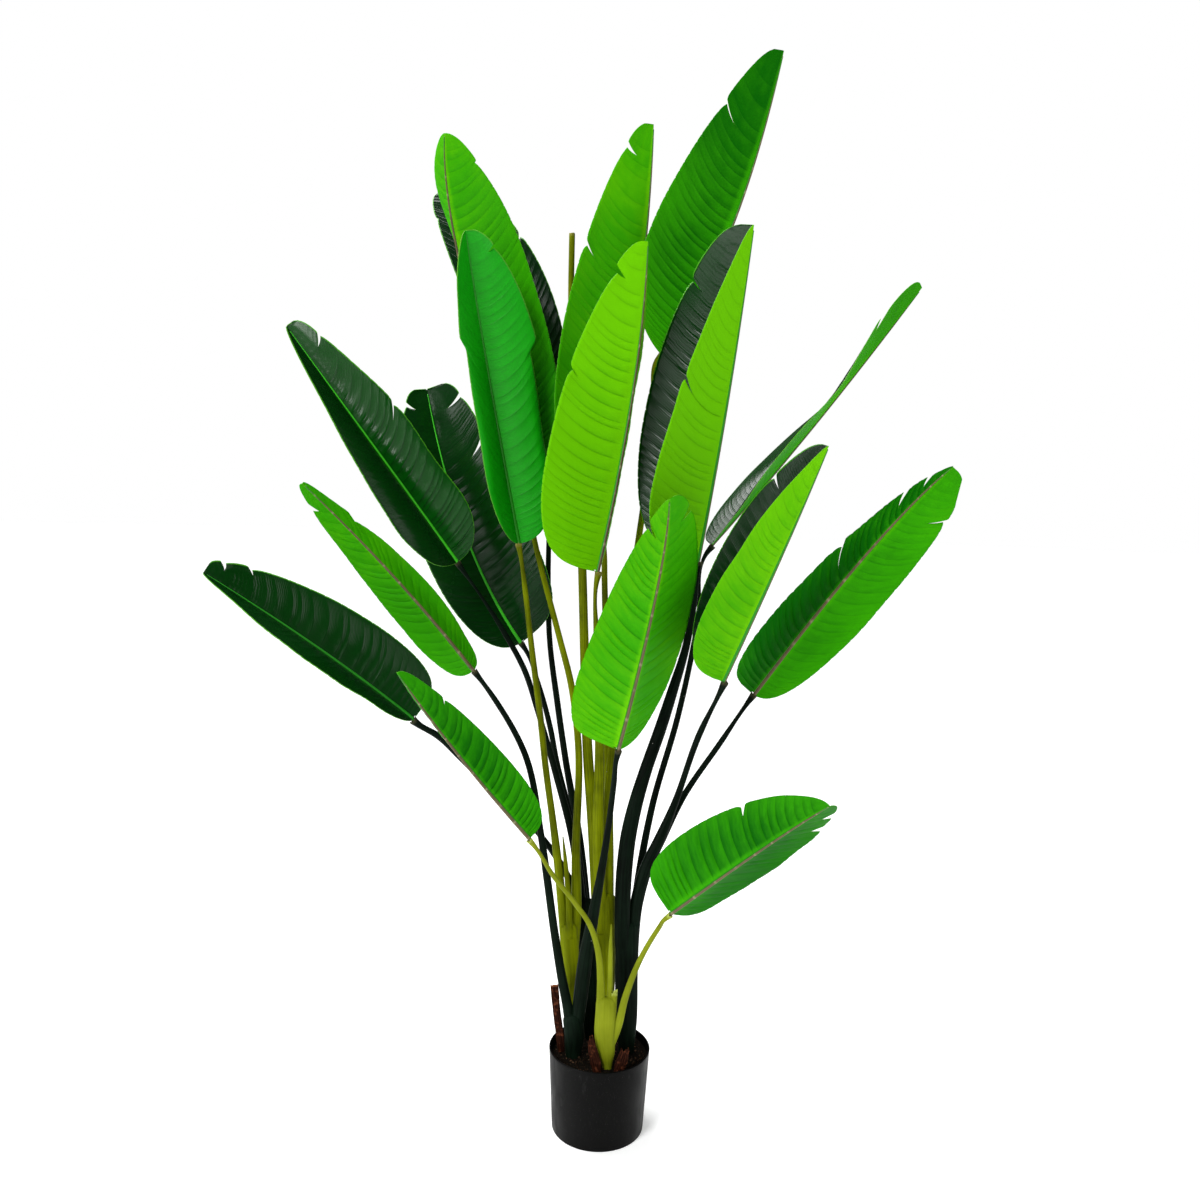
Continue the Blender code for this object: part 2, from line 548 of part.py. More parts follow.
def midrib(leaf, station):
    """Point, direction, upper-side normal and right-hand side of a midrib.

    The midrib is the parabola through foot, middle and tip, with the middle at station 0.5. The
    normal is the leaf's top direction made square to the midrib and turned by the twist.
    """
    foot, middle, tip = (np.array(point, dtype=float) for point in
                         (leaf.foot, leaf.middle, leaf.tip))
    control = 2 * middle - (foot + tip) / 2
    t = np.asarray(station, dtype=float)[..., None]
    point = (1 - t)**2 * foot + 2 * t * (1 - t) * control + t**2 * tip
    along = unit(2 * (1 - t) * (control - foot) + 2 * t * (tip - control))
    top = np.array(leaf.top, dtype=float)
    normal = unit(top - (along @ top)[..., None] * along)
    right = np.cross(along, normal)
    turn = math.radians(leaf.twist) * t
    turned_normal = normal * np.cos(turn) + right * np.sin(turn)
    turned_right = right * np.cos(turn) - normal * np.sin(turn)
    return point, along, turned_normal, turned_right


def outline(leaf, side, station):
    """Half width of one side of a blade at a station between 0 at the foot and 1 at the tip.

    The outline is station^swell (1 - station)^point (1 - taper station), scaled so that its
    widest place has the leaf's half width.
    """
    def shape(value):
        value = np.clip(value, 0, 1)
        return (value**leaf.swell[side] * (1 - value)**leaf.point[side]
                * (1 - OUTLINE_TAPER * value))

    widest = shape(np.linspace(0, 1, OUTLINE_SAMPLES)).max()
    least = RIB_HALF_WIDTH + (TIP_HALF_WIDTH - RIB_HALF_WIDTH) * station
    return np.maximum(leaf.half_width[side] * shape(station) / widest, least)


def vein_lead(station):
    """How far behind its own station a vein leaves the midrib, as a share of the length.

    It is VEIN_LEAD (1 - exp(-4 station)) (1 - station^14), so it fades at the foot and tip.
    """
    return VEIN_LEAD * (1 - np.exp(-4 * station)) * (1 - station**14)


def half_blade(leaf, side, stations, across):
    """Points of one half of a blade, for margin stations by shares across from the midrib.

    A vein leaves the midrib behind its station and makes up a share of that, VEIN_SWEEP, by the
    margin. The half rises by its fold, which tip_open lessens towards the tip, and past
    roll_from the margin bends on along an arc by its roll.
    """
    station = stations[:, None]
    lead = vein_lead(station) * (1 - VEIN_SWEEP * across**2.2)
    point, _, normal, right = midrib(leaf, np.clip(station - lead, 0, 1))
    width = outline(leaf, side, station)
    near_tip = np.clip((station - OPEN_FROM) / (1 - OPEN_FROM), 0, 1)
    fold = math.radians(leaf.fold[side]) * (1 - leaf.tip_open[side] * near_tip**2
                                            * (3 - 2 * near_tip))
    angle, centre = leaf.roll[side]
    roll = math.radians(angle) * np.exp(-((station - centre) / ROLL_SPREAD)**2) + 1e-6
    flat = np.minimum(across, leaf.roll_from)
    bent = np.clip(across - leaf.roll_from, 0, None) / (1 - leaf.roll_from)
    reach = (1 - leaf.roll_from) / roll
    out = flat * np.cos(fold) + reach * (np.sin(fold + roll * bent) - np.sin(fold))
    up = flat * np.sin(fold) + reach * (np.cos(fold) - np.cos(fold + roll * bent))
    sign = (-1, 1)[side]
    return point + (width * out)[..., None] * right * sign + (width * up)[..., None] * normal


def blade_stations(leaf):
    """Rows of a blade from foot to tip, with one at each split."""
    even = np.linspace(0, 1, BLADE_ROWS)
    rows = (even + 0.5 - 0.5 * np.cos(math.pi * even)) / 2
    for half in leaf.splits:
        for station, _, _ in half:
            nearest = 1 + np.argmin(np.abs(rows[1:-1] - station))
            rows[nearest] = station
    return rows


def blade_columns(leaf):
    """Shares of the half width where a blade has points, closer together where it rolls."""
    if any(angle for angle, _ in leaf.roll):
        return (0.5 * leaf.roll_from, leaf.roll_from, 1.0)
    return (0.55, 1.0)


def blade_sheet(leaf):
    """The blade's upper face: points, faces and the rib's share of the thickness at each point.

    Both halves share the midrib's points. A split doubles its row outside the split's bottom, and
    draws the two rows apart towards the margin. Rows stand alternately high and low as pleats.
    """
    rows = blade_stations(leaf)
    columns = blade_columns(leaf)
    length = np.linalg.norm(np.subtract(leaf.tip, leaf.foot))
    rise = PLEAT_HEIGHT * np.where(np.arange(len(rows)) % 2 == 0, 1.0, -1.0)
    spine, _, spine_normal, _ = midrib(leaf, rows - vein_lead(rows))
    points = list(spine)
    ribbed = list(1.0 - (1.0 - RIB_DEPTH_AT_TIP / RIB_DEPTH_AT_FOOT) * rows)
    faces = []
    for side in (LEFT, RIGHT):
        inner = np.minimum(0.3, RIB_HALF_WIDTH / outline(leaf, side, rows))[:, None]
        share = np.hstack([inner, np.tile(columns, (len(rows), 1))])
        splits = {int(np.argmin(np.abs(rows - s))): (depth, gap)
                  for s, depth, gap in leaf.splits[side]}
        index = []
        for row, station in enumerate(rows):
            depth, gap = splits.get(row, (0.0, 0.0))
            open_share = np.clip((share[row] - 1 + depth) / max(depth, 1e-6), 0, 1)
            copies = (-0.5, 0.5) if row in splits else (0.0,)
            previous = None
            for shift in copies:
                moved = station + shift * gap / length * open_share
                grid = np.array([half_blade(leaf, side, np.array([m]), np.array([[s]]))[0, 0]
                                 for m, s in zip(moved, share[row])])
                grid += spine_normal[row] * (rise[row] * share[row] * (1 - station))[:, None]
                line = [row]
                for column, point in enumerate(grid):
                    if previous is not None and open_share[column] == 0:
                        line.append(previous[column + 1])
                        continue
                    line.append(len(points))
                    points.append(point)
                    ribbed.append(0.0)
                index.append((row, line))
                previous = line
        for (low_row, low), (high_row, high) in zip(index[:-1], index[1:]):
            if low_row == high_row:
                continue
            for column in range(len(low) - 1):
                a, b = low[column], low[column + 1]
                c, d = high[column + 1], high[column]
                if side == RIGHT:
                    faces += [(a, b, c), (a, c, d)]
                else:
                    faces += [(a, c, b), (a, d, c)]
    return points, faces, ribbed


def make_leaf(leaf, material):
    """A thin blade with its rib, thickened downwards from its upper face."""
    points, faces, ribbed = blade_sheet(leaf)
    mesh = mesh_from(leaf.name, points, faces)
    item = add_object(leaf.name, mesh, material)
    group = item.vertex_groups.new(name="rib")
    blade_share = BLADE_THICKNESS / RIB_DEPTH_AT_FOOT
    for index, share in enumerate(ribbed):
        group.add([index], max(blade_share, share), "REPLACE")
    modifier = item.modifiers.new("Solidify", "SOLIDIFY")
    modifier.thickness = RIB_DEPTH_AT_FOOT
    modifier.offset = -1.0
    modifier.vertex_group = group.name
    modifier.use_even_offset = False
    return item


def stem_path(arm):
    """The smooth route of one arm, ended just short of its leaf's foot, and its end direction."""
    leaf_name, rows = arm
    rows = [tuple(row) for row in rows]
    if leaf_name is None:
        return smooth_path(rows), None
    leaf = next(item for item in LEAVES if item.name == leaf_name)
    point, along, normal, _ = midrib(leaf, np.array(0.0))
    end = point - along * STEM_GAP - normal * STEM_DROP
    collar = end - along * SHEATH_LENGTH
    width = rows[-1][3]
    rows.append((*collar, width))
    rows.append((*end, width * SHEATH_SWELL))
    return smooth_path(rows), along


def make_trunk(name, trunk, material):
    """A trunk with its arms, fused into one solid."""
    arms = trunk["arms"]
    base = add_object(name, tube(name, stem_path(arms[0])[0], TRUNK_FLATNESS), material)
    tools = []
    for number, arm in enumerate(arms[1:], 1):
        path, direction = stem_path(arm)
        share = np.linspace(TRUNK_FLATNESS, 1.0, len(path))
        label = f"{name}_arm_{number}"
        tools.append(add_object(label, tube(label, path, share, direction), None))
    boolean(base, "UNION", tools)
    return base


def make_husk(name, path, material):
    """A thin curved scrap of bark sheath."""
    return add_object(name, tube(name, smooth_path(path), HUSK_FLATNESS), material)


def main():
    """Build every piece of the plant."""
    clear_scene()
    make_pot()
    make_cement()
    make_soil()
    skins = {name: finish(name, colour, 0.45) for name, colour in STEM_COLOURS.items()}
    for name, trunk in TRUNKS.items():
        make_trunk(name, trunk, skins[trunk["skin"]])
    blade_green = finish("leaf_green", (0.030, 0.300, 0.008), 0.40)
    for leaf in LEAVES:
        make_leaf(leaf, blade_green)
    bark = finish("dry_bark", (0.19, 0.055, 0.022), 0.85)
    for name, path in HUSKS.items():
        make_husk(name, path, bark)


main()
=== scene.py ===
# %% [markdown]
# # A tall potted banana plant
#
# The real object is an artificial plant: seventeen coated leaves on wired stems, six bundles of
# stems, and a small black pot that holds a cement plug under a layer of soil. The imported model
# gives every piece its place and its rough form. This script makes the fine surface of each
# piece, then its finish, in the order in which someone would put the plant together: light and
# floor, pot, soil, bark, leaves, stems.

import math
from dataclasses import dataclass

import bmesh
import bpy
import numpy as np
from mathutils import Matrix, Vector


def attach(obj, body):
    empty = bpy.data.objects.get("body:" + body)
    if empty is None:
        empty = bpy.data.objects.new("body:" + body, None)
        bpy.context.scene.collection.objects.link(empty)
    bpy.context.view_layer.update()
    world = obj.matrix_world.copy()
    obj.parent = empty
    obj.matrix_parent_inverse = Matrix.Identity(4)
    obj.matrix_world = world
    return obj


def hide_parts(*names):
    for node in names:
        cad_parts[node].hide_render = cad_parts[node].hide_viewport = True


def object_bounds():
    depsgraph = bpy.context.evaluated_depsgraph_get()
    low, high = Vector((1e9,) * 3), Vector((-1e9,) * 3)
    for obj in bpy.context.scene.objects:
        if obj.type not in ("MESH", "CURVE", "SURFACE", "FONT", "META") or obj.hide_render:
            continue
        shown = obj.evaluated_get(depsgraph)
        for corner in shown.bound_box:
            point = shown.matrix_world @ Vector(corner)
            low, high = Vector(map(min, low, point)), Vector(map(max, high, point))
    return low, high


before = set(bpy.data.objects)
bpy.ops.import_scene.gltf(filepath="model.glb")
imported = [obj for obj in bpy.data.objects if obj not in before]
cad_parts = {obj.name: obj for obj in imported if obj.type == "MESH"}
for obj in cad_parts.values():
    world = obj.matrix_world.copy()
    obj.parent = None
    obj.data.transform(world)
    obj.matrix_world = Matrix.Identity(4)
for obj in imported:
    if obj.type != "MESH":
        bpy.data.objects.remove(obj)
CAD_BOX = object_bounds()
print("nodes:", len(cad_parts), "box:", [tuple(round(v, 3) for v in c) for c in CAD_BOX])

# %% [markdown]
# ## Camera
#
# The pot's outline in the photograph gives the camera. Its rim and its bottom are two ellipses,
# and how much flatter the rim's is than the bottom's tells how high the camera stands and how far
# away. A 30 mm lens at 1.6 m fits both, with the camera pitched a little down and rolled a little,
# so that the pot leans. The axes are worked out one by one, because the roll turns about the line
# of sight and a plain Euler rotation would mix it with the pitch.

# %% Camera
CAMERA_PLACE = Vector((-0.020, -1.620, 1.045))
CAMERA_PITCH, CAMERA_ROLL = math.radians(5.2), math.radians(1.6)
LENS, SENSOR = 30.0, 36.0

forward = Vector((0, math.cos(CAMERA_PITCH), -math.sin(CAMERA_PITCH)))
level_up = Vector((0, math.sin(CAMERA_PITCH), math.cos(CAMERA_PITCH)))
level_right = Vector((1, 0, 0))
right = level_right * math.cos(CAMERA_ROLL) + level_up * math.sin(CAMERA_ROLL)
up = level_up * math.cos(CAMERA_ROLL) - level_right * math.sin(CAMERA_ROLL)

scene = bpy.context.scene
camera_data = bpy.data.cameras.new("camera")
camera_data.lens, camera_data.sensor_width = LENS, SENSOR
camera = bpy.data.objects.new("camera", camera_data)
camera.matrix_world = Matrix.Translation(CAMERA_PLACE) @ Matrix(
    (right, up, -forward)).transposed().to_4x4()
scene.collection.objects.link(camera)
scene.camera = camera
print("field of view:", round(math.degrees(2 * math.atan(SENSOR / 2 / LENS)), 1), "degrees")

# %% [markdown]
# ## Light
#
# The photograph is a bright studio picture on white: soft light from both sides of the camera, so
# the undersides that face it glow, and a white surround. The dark leaves mirror little of it, as
# if black cloth hung beyond the white, so that they stay deep and only show streaks of the lamps.
# Two broad suns give even light however far the floor runs, so the floor stays one pale tone up
# to the horizon, which area lights couldn't do. One softbox overhead and three smaller ones in
# front add the streaks of gloss. The three give no other light, and the stronger sun shows its
# gloss through a weaker twin, so that each streak can be put where the picture has it. The plain
# view transform keeps the greens as strong as in the picture. A first helper keeps the node trees
# short here and in the finishes.

# %% Helper for node trees
class Nodes:
    """A tree of shader nodes, with a short way to add one and to join it up."""

    def __init__(self, tree):
        self.tree = tree

    def join(self, node, inputs):
        """Gives each named input of a node its number, colour or socket."""
        for key, value in inputs.items():
            if isinstance(value, bpy.types.NodeSocket):
                self.tree.links.new(value, node.inputs[key])
            else:
                node.inputs[key].default_value = value
        return node

    def add(self, kind, inputs=(), **settings):
        """A node with its settings made and its inputs joined."""
        node = self.tree.nodes.new("ShaderNode" + kind)
        for key, value in settings.items():
            setattr(node, key, value)
        return self.join(node, dict(inputs))


# %% Light
# (grey, strength) of the surround as the diffuse light, the gloss and the camera meet it
SURROUND = ((1.0, 0.36), (0.8, 0.10), (1.0, 1.0))
# name: (kind, power, place, spread in degrees or size in metres, what it gives)
LIGHTS = {
    "key_sun": ("SUN", 2.2, (-0.75, -1.0, 0.95), 20.0, "light"),
    "key_gloss": ("SUN", 0.9, (-0.75, -1.0, 0.95), 20.0, "gloss"),
    "fill_sun": ("SUN", 0.6, (1.25, -0.6, 0.55), 30.0, "both"),
    "top_light": ("AREA", 80.0, (-0.9, 0.7, 2.9), 1.6, "both"),
    "side_box": ("AREA", 10.0, (-2.3, -1.9, 1.35), 0.9, "gloss"),
    "low_box": ("AREA", 24.0, (-1.45, -1.40, 0.22), 0.6, "gloss"),
    "front_box": ("AREA", 4.2, (-0.65, -1.85, 1.30), 0.5, "gloss"),
}
PLANT_MIDDLE = Vector((0, 0, 1.0))

scene.view_settings.view_transform = "Standard"
scene.world = bpy.data.worlds.new("studio")
scene.world.use_nodes = True
studio = Nodes(scene.world.node_tree)
studio.tree.nodes.clear()
ray = studio.add("LightPath").outputs
glow, dim, white = (studio.add("Background", {0: (grey, grey, grey, 1.0), 1: strength}).outputs[0]
                    for grey, strength in SURROUND)
met = studio.add("MixShader", {0: ray["Is Glossy Ray"], 1: glow, 2: dim}).outputs[0]
seen = studio.add("MixShader", {0: ray["Is Camera Ray"], 1: met, 2: white}).outputs[0]
studio.add("OutputWorld", {"Surface": seen})

for name, (kind, power, place, spread, gives) in LIGHTS.items():
    data = bpy.data.lights.new(name, kind)
    data.energy = power
    if kind == "SUN":
        data.angle, target = math.radians(spread), Vector()
    else:
        data.size, target = spread, PLANT_MIDDLE
    light = bpy.data.objects.new(name, data)
    light.location = place
    light.rotation_mode = "QUATERNION"
    light.rotation_quaternion = (target - Vector(place)).to_track_quat("-Z", "Y")
    light.visible_camera = False
    light.visible_glossy, light.visible_diffuse = gives != "light", gives != "gloss"
    scene.collection.objects.link(light)
print("lights:", list(LIGHTS))

# %% [markdown]
# ## Helpers
#
# Every surface below is a grid of points worked out with numpy, so a few helpers carry the whole
# script: they give the faces of a grid, close a row of rings at both ends, and put parts made of
# points and faces into an object. A second class gives each finish short ways to its nodes,
# because a finish is a few textures mixed into one shader.

# %% Helpers for surfaces
def unit(vectors):
    """Vectors scaled to a length of one."""
    return vectors / np.linalg.norm(vectors, axis=-1, keepdims=True)


def around(sides):
    """Angles of the points of a ring."""
    return np.arange(sides) * 2 * math.pi / sides


def grid_faces(rows, columns, wrap=False):
    """Quads of a grid of rows by columns of points. With wrap the last column meets the first."""
    index = np.arange(rows * columns).reshape(rows, columns)
    if wrap:
        index = np.hstack([index, index[:, :1]])
    corners = (index[:-1, :-1], index[:-1, 1:], index[1:, 1:], index[1:, :-1])
    return np.stack(corners, axis=-1).reshape(-1, 4)


def fan_faces(ring, centre):
    """Triangles from a closed ring of point numbers to a centre point."""
    return np.stack([np.full(len(ring), centre), ring, np.roll(ring, -1)], axis=-1)


def closed_tube(rings, ends, values=None):
    """A part from rings of points joined in a row, with a fan to a centre point at either end."""
    rows, sides = rings.shape[:2]
    count = rows * sides
    first = np.arange(sides)
    faces = (grid_faces(rows, sides, wrap=True), fan_faces(first[::-1], count),
             fan_faces(first + count - sides, count + 1))
    values = {key: np.append(grid, [grid[0, 0], grid[-1, 0]])
              for key, grid in (values or {}).items()}
    return np.vstack([rings.reshape(-1, 3), ends]), faces, values


def make_object(name, finishes, *parts):
    """An object at the origin from parts: points, lists of faces and values on the points."""
    points, faces, values, start = [], [], {}, 0
    for part_points, part_faces, part_values in parts:
        points.append(np.reshape(part_points, (-1, 3)))
        faces += [face for quads in part_faces for face in (quads + start).tolist()]
        for key, numbers in part_values.items():
            values.setdefault(key, []).append(np.ravel(numbers))
        start += len(points[-1])
    mesh = bpy.data.meshes.new(name)
    mesh.from_pydata(np.vstack(points).tolist(), [], faces)
    for key, numbers in values.items():
        layer = mesh.attributes.new(key, "FLOAT", "POINT")
        layer.data.foreach_set("value", np.concatenate(numbers).astype(np.float32))
    for finish in finishes:
        mesh.materials.append(finish)
    mesh.shade_smooth()
    thing = bpy.data.objects.new(name, mesh)
    scene.collection.objects.link(thing)
    return thing


def weld(thing, distance=1e-5, turn_out=True):
    """Merge points that lie together, and turn the faces of a closed surface outwards."""
    work = bmesh.new()
    work.from_mesh(thing.data)
    bmesh.ops.remove_doubles(work, verts=work.verts, dist=distance)
    bmesh.ops.dissolve_degenerate(work, edges=work.edges, dist=1e-7)
    if turn_out:
        bmesh.ops.recalc_face_normals(work, faces=work.faces)
    loose = [vert for vert in work.verts if not vert.link_faces]
    bmesh.ops.delete(work, geom=loose, context="VERTS")
    work.to_mesh(thing.data)
    work.free()


def thicken(thing, thickness, offset, **settings):
    """A Solidify modifier on a sheet."""
    modifier = thing.modifiers.new("thickness", "SOLIDIFY")
    for key, value in dict(settings, thickness=thickness, offset=offset).items():
        setattr(modifier, key, value)


def triangles(thing):
    """How many triangles an object shows, modifiers included."""
    graph = bpy.context.evaluated_depsgraph_get()
    mesh = thing.evaluated_get(graph).data
    mesh.calc_loop_triangles()
    return len(mesh.loop_triangles)


def place_piece(thing, slot, *nodes):
    """The piece rides with the plant and stands for its nodes. The slot is not used."""
    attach(thing, "root")
    if nodes:
        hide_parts(*nodes)


# %% Helper for finishes
class Finish(Nodes):
    """A Principled material, with short ways to the nodes that the finishes share."""

    def __init__(self, name, roughness, specular):
        self.material = bpy.data.materials.new(name)
        self.material.use_nodes = True
        super().__init__(self.material.node_tree)
        self.wear(Roughness=roughness, Specular_IOR_Level=specular)
        self.place = self.add("TexCoord").outputs["Object"]  # in metres

    def wear(self, **looks):
        """Gives the shader's inputs their sockets or constants, and gives back the material."""
        self.join(self.tree.nodes["Principled BSDF"],
                  {key.replace("_", " "): value for key, value in looks.items()})
        return self.material

    def value(self, name):
        """The named value that a piece carries on its points."""
        return self.add("Attribute", attribute_name=name).outputs["Fac"]

    def vector(self, *parts):
        """Coordinates from three numbers or sockets."""
        return self.add("CombineXYZ", enumerate(parts)).outputs[0]

    def noise(self, scale, detail=3.0, stretch=(1, 1, 1), vector=None):
        """Noise of a scale per metre, with the coordinates stretched first."""
        mapping = self.add("Mapping", {"Vector": vector or self.place, "Scale": stretch})
        return self.add("TexNoise", {"Vector": mapping.outputs["Vector"], "Scale": scale,
                                     "Detail": detail}).outputs["Fac"]

    def math(self, operation, *values, clamp=False):
        """One sum on numbers or sockets."""
        return self.add("Math", enumerate(values), operation=operation, use_clamp=clamp).outputs[0]

    def plus(self, first, second, clamp=False):
        """Two values added, and kept between 0 and 1 where clamped."""
        return self.math("ADD", first, second, clamp=clamp)

    def times(self, value, factor, *offset, clamp=False):
        """A value times a factor, with an offset added where one is given."""
        operation = "MULTIPLY_ADD" if offset else "MULTIPLY"
        return self.math(operation, value, factor, *offset, clamp=clamp)

    def span(self, value, low, high, to_low=0.0, to_high=1.0):
        """A value carried from one range to another, smoothly, and kept inside it."""
        return self.add("MapRange", enumerate((value, low, high, to_low, to_high)),
                        interpolation_type="SMOOTHSTEP").outputs[0]

    def mix(self, share, *colours):
        """Two colours mixed by a share."""
        first, second = ((*c, 1.0) if isinstance(c, tuple) else c for c in colours)
        return self.add("Mix", {0: share, 6: first, 7: second}, data_type="RGBA").outputs[2]

    def layers(self, base, *coats):
        """A colour with others laid over it in turn, each by its share."""
        for share, colour in coats:
            base = self.mix(share, base, colour)
        return base

    def bump(self, height, distance, strength=1.0):
        """A bump whose height of 1 is a distance in metres."""
        return self.add("Bump", {"Height": height, "Distance": distance,
                                 "Strength": strength}).outputs["Normal"]


# %% [markdown]
# ## Floor
#
# A wide flat disc. It is part of the studio and not of the plant. A
# plain pale finish with a trace of unevenness keeps it from looking like an empty background.

# %% Floor
FLOOR_RADIUS = 40.0
FLOOR_SIDES = 96
FLOOR_GLOW = 0.30

pale = Finish("floor_finish", roughness=0.9, specular=0.1)
pale.wear(Base_Color=pale.mix(pale.noise(1.3), (0.93, 0.93, 0.93), (0.96, 0.96, 0.96)),
          Emission_Color=(1.0, 1.0, 1.0, 1.0), Emission_Strength=FLOOR_GLOW)
turn = around(FLOOR_SIDES)
floor_ring = np.stack([np.cos(turn), np.sin(turn), 0 * turn], axis=-1) * FLOOR_RADIUS
floor = make_object("floor", [pale.material],
                    (np.vstack([floor_ring, [[0, 0, 0]]]),
                     [fan_faces(np.arange(FLOOR_SIDES), FLOOR_SIDES)], {}))
print("floor triangles:", len(floor.data.polygons))

# %% [markdown]
# ## Pot
#
# The pot is a thin moulded shell with a slight taper, no lip, and edges rounded by the mould. It
# is a profile turned about the Z axis: the points of the profile go up the inside, over the rim,
# and down the outside to the bottom. The corners are arcs, so their gloss runs round the rim as
# on real plastic. The plastic is black with a satin sheen, with faint scuffs and dust.

# %% Pot
POT_HEIGHT = 0.140
POT_RIM_RADIUS = 0.085
POT_BASE_RADIUS = 0.0775
POT_WALL = 0.003
POT_FLOOR = 0.004
POT_EDGE = 0.0015
POT_SIDES = 160
SOIL_TOP = 0.126
TOUCH_GAP = 0.0003
CEMENT_TOP = 0.092
ROOT_Z = CEMENT_TOP + TOUCH_GAP


def pot_radius(z):
    """Radius of the outer wall at a height: a straight taper from the rim to the bottom."""
    return POT_BASE_RADIUS + (POT_RIM_RADIUS - POT_BASE_RADIUS) * z / POT_HEIGHT


def wall(z, inset=0.0):
    """Points (radius, z) of the wall at some heights, moved in by an inset."""
    return np.stack([pot_radius(z) - inset, z], axis=-1)


def arc(radius, z, size, first, last, steps):
    """Points (radius, z) of an arc about a centre, between two angles in degrees."""
    angle = np.radians(np.linspace(first, last, steps))
    return np.stack([radius + size * np.cos(angle), z + size * np.sin(angle)], axis=-1)


def turned(profile, sides):
    """Rings of points: a profile of (radius, z) points carried round the Z axis."""
    radius, z = profile[:, :1], profile[:, 1:]
    turn = around(sides)
    return np.stack([radius * np.cos(turn), radius * np.sin(turn), z + 0 * turn], axis=-1)


rim_round = POT_WALL / 2
profile = np.vstack([
    wall(np.linspace(POT_FLOOR, POT_HEIGHT - POT_WALL, 12), POT_WALL),
    arc(POT_RIM_RADIUS - rim_round, POT_HEIGHT - rim_round, rim_round, 180, 0, 13),
    wall(np.linspace(POT_HEIGHT - rim_round, POT_EDGE, 24)[1:-1]),
    arc(POT_BASE_RADIUS - POT_EDGE, POT_EDGE, POT_EDGE, 0, -90, 7)])

plastic = Finish("black_plastic", roughness=0.40, specular=0.062)
scuffs = plastic.noise(60.0, detail=6.0, stretch=(1, 1, 0.35))
dust = plastic.span(plastic.noise(900.0, detail=1.0), 0.70, 0.78)
black = plastic.layers(
    (0.0005, 0.0005, 0.0005), (plastic.noise(14.0, detail=4.0), (0.0018, 0.0018, 0.0017)),
    (plastic.times(plastic.span(scuffs, 0.62, 0.80), 0.22), (0.07, 0.07, 0.07)),
    (plastic.times(dust, 0.12), (0.30, 0.29, 0.27)))
plastic.wear(Base_Color=black, Roughness=plastic.span(scuffs, 0.35, 0.75, 0.36, 0.55),
             Normal=plastic.bump(plastic.noise(1400.0, detail=2.0), 0.00003))

pot = make_object("pot_shell", [plastic.material],
                  closed_tube(turned(profile, POT_SIDES), [[0, 0, POT_FLOOR], [0, 0, 0]]))
weld(pot)
place_piece(pot, "black_plastic", "pot")
print("pot triangles:", triangles(pot))

# %% [markdown]
# ## Cement plug
#
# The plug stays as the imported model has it, because the soil hides it. It still gets the finish
# of cast cement: grey with pale specks of sand and small pits.

# %% Cement plug
cement = Finish("cement_finish", roughness=0.92, specular=0.2)
speck = cement.span(cement.noise(700.0, detail=1.0), 0.62, 0.72)
grey = cement.layers((0.26, 0.25, 0.23), (cement.noise(25.0), (0.36, 0.35, 0.32)),
                     (speck, (0.52, 0.49, 0.43)))
cement.wear(Base_Color=grey, Normal=cement.bump(cement.noise(400.0), 0.0004))
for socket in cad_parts["cement_plug"].material_slots:
    socket.material = cement.material
print("finish of the plug:", cement.material.name)

# %% [markdown]
# ## Soil
#
# The pot is filled with dark crumbly soil nearly to its rim. It is a disc whose height is a sum
# of many small rounded lumps, with loose crumbs lying on it. Each crumb is one of a thousand
# twenty-sided lumps squashed at random, so it costs few faces. Displacing a dense grid with
# noise would look smooth as cloth, because noise has no separate grains.

# %% Soil
SOIL_RINGS = 48
SOIL_SECTORS = 144
SOIL_LUMPS = 260
LUMP_SIZES = (0.003, 0.009)
LUMP_HEIGHT = 0.0016

rng = np.random.default_rng(11)
soil_radius = pot_radius(SOIL_TOP) - POT_WALL - TOUCH_GAP
lump_place = rng.uniform(-soil_radius, soil_radius, (SOIL_LUMPS, 2))
lump_size = rng.uniform(*LUMP_SIZES, SOIL_LUMPS)
lump_rise = rng.uniform(-1, 1, SOIL_LUMPS) * LUMP_HEIGHT


def on_soil(radius, turn, lift=0.0):
    """Points on the soil, at a radius and a direction from the middle.

    The height is the soil's level plus a rounded lump exp(-d^2 / size^2) for each lump's place.
    """
    x, y = radius * np.cos(turn), radius * np.sin(turn)
    away = (x[..., None] - lump_place[:, 0])**2 + (y[..., None] - lump_place[:, 1])**2
    height = SOIL_TOP + (lump_rise * np.exp(-away / lump_size**2)).sum(axis=-1)
    return np.stack([x, y, height + lift], axis=-1)


share = np.linspace(0, 1, SOIL_RINGS + 1)[1:, None]
low_radius = pot_radius(CEMENT_TOP) - POT_WALL - TOUCH_GAP
soil_rings = np.concatenate([on_soil(soil_radius * share, around(SOIL_SECTORS)),
                             turned(np.array([[low_radius, ROOT_Z]]), SOIL_SECTORS)])
earth = Finish("potting_soil", roughness=0.95, specular=0.03)
fleck = earth.span(earth.noise(700.0, detail=1.0), 0.68, 0.74, 0.0, 0.6)
damp = earth.layers(
    (0.0010, 0.0009, 0.0008), (earth.noise(160.0, detail=6.0), (0.009, 0.007, 0.005)),
    (fleck, (0.060, 0.040, 0.026)))
earth.wear(Base_Color=damp, Normal=earth.bump(earth.noise(500.0), 0.0012))
soil = make_object("soil_bed", [earth.material],
                   closed_tube(soil_rings, [[0, 0, SOIL_TOP], [0, 0, ROOT_Z]]))
weld(soil)
place_piece(soil, "potting_soil", "soil")

# %% Crumbs
CRUMBS = 1100
CRUMB_SIZES = (0.0006, 0.0024)
CRUMB_POWER = 2.5  # makes the small ones the more common
CRUMB_SQUASH = (0.55, 1.25)
CRUMB_DENTS = (0.8, 1.2)
CRUMB_LIFT = 0.3  # how far a crumb's middle stands above the soil, over its size

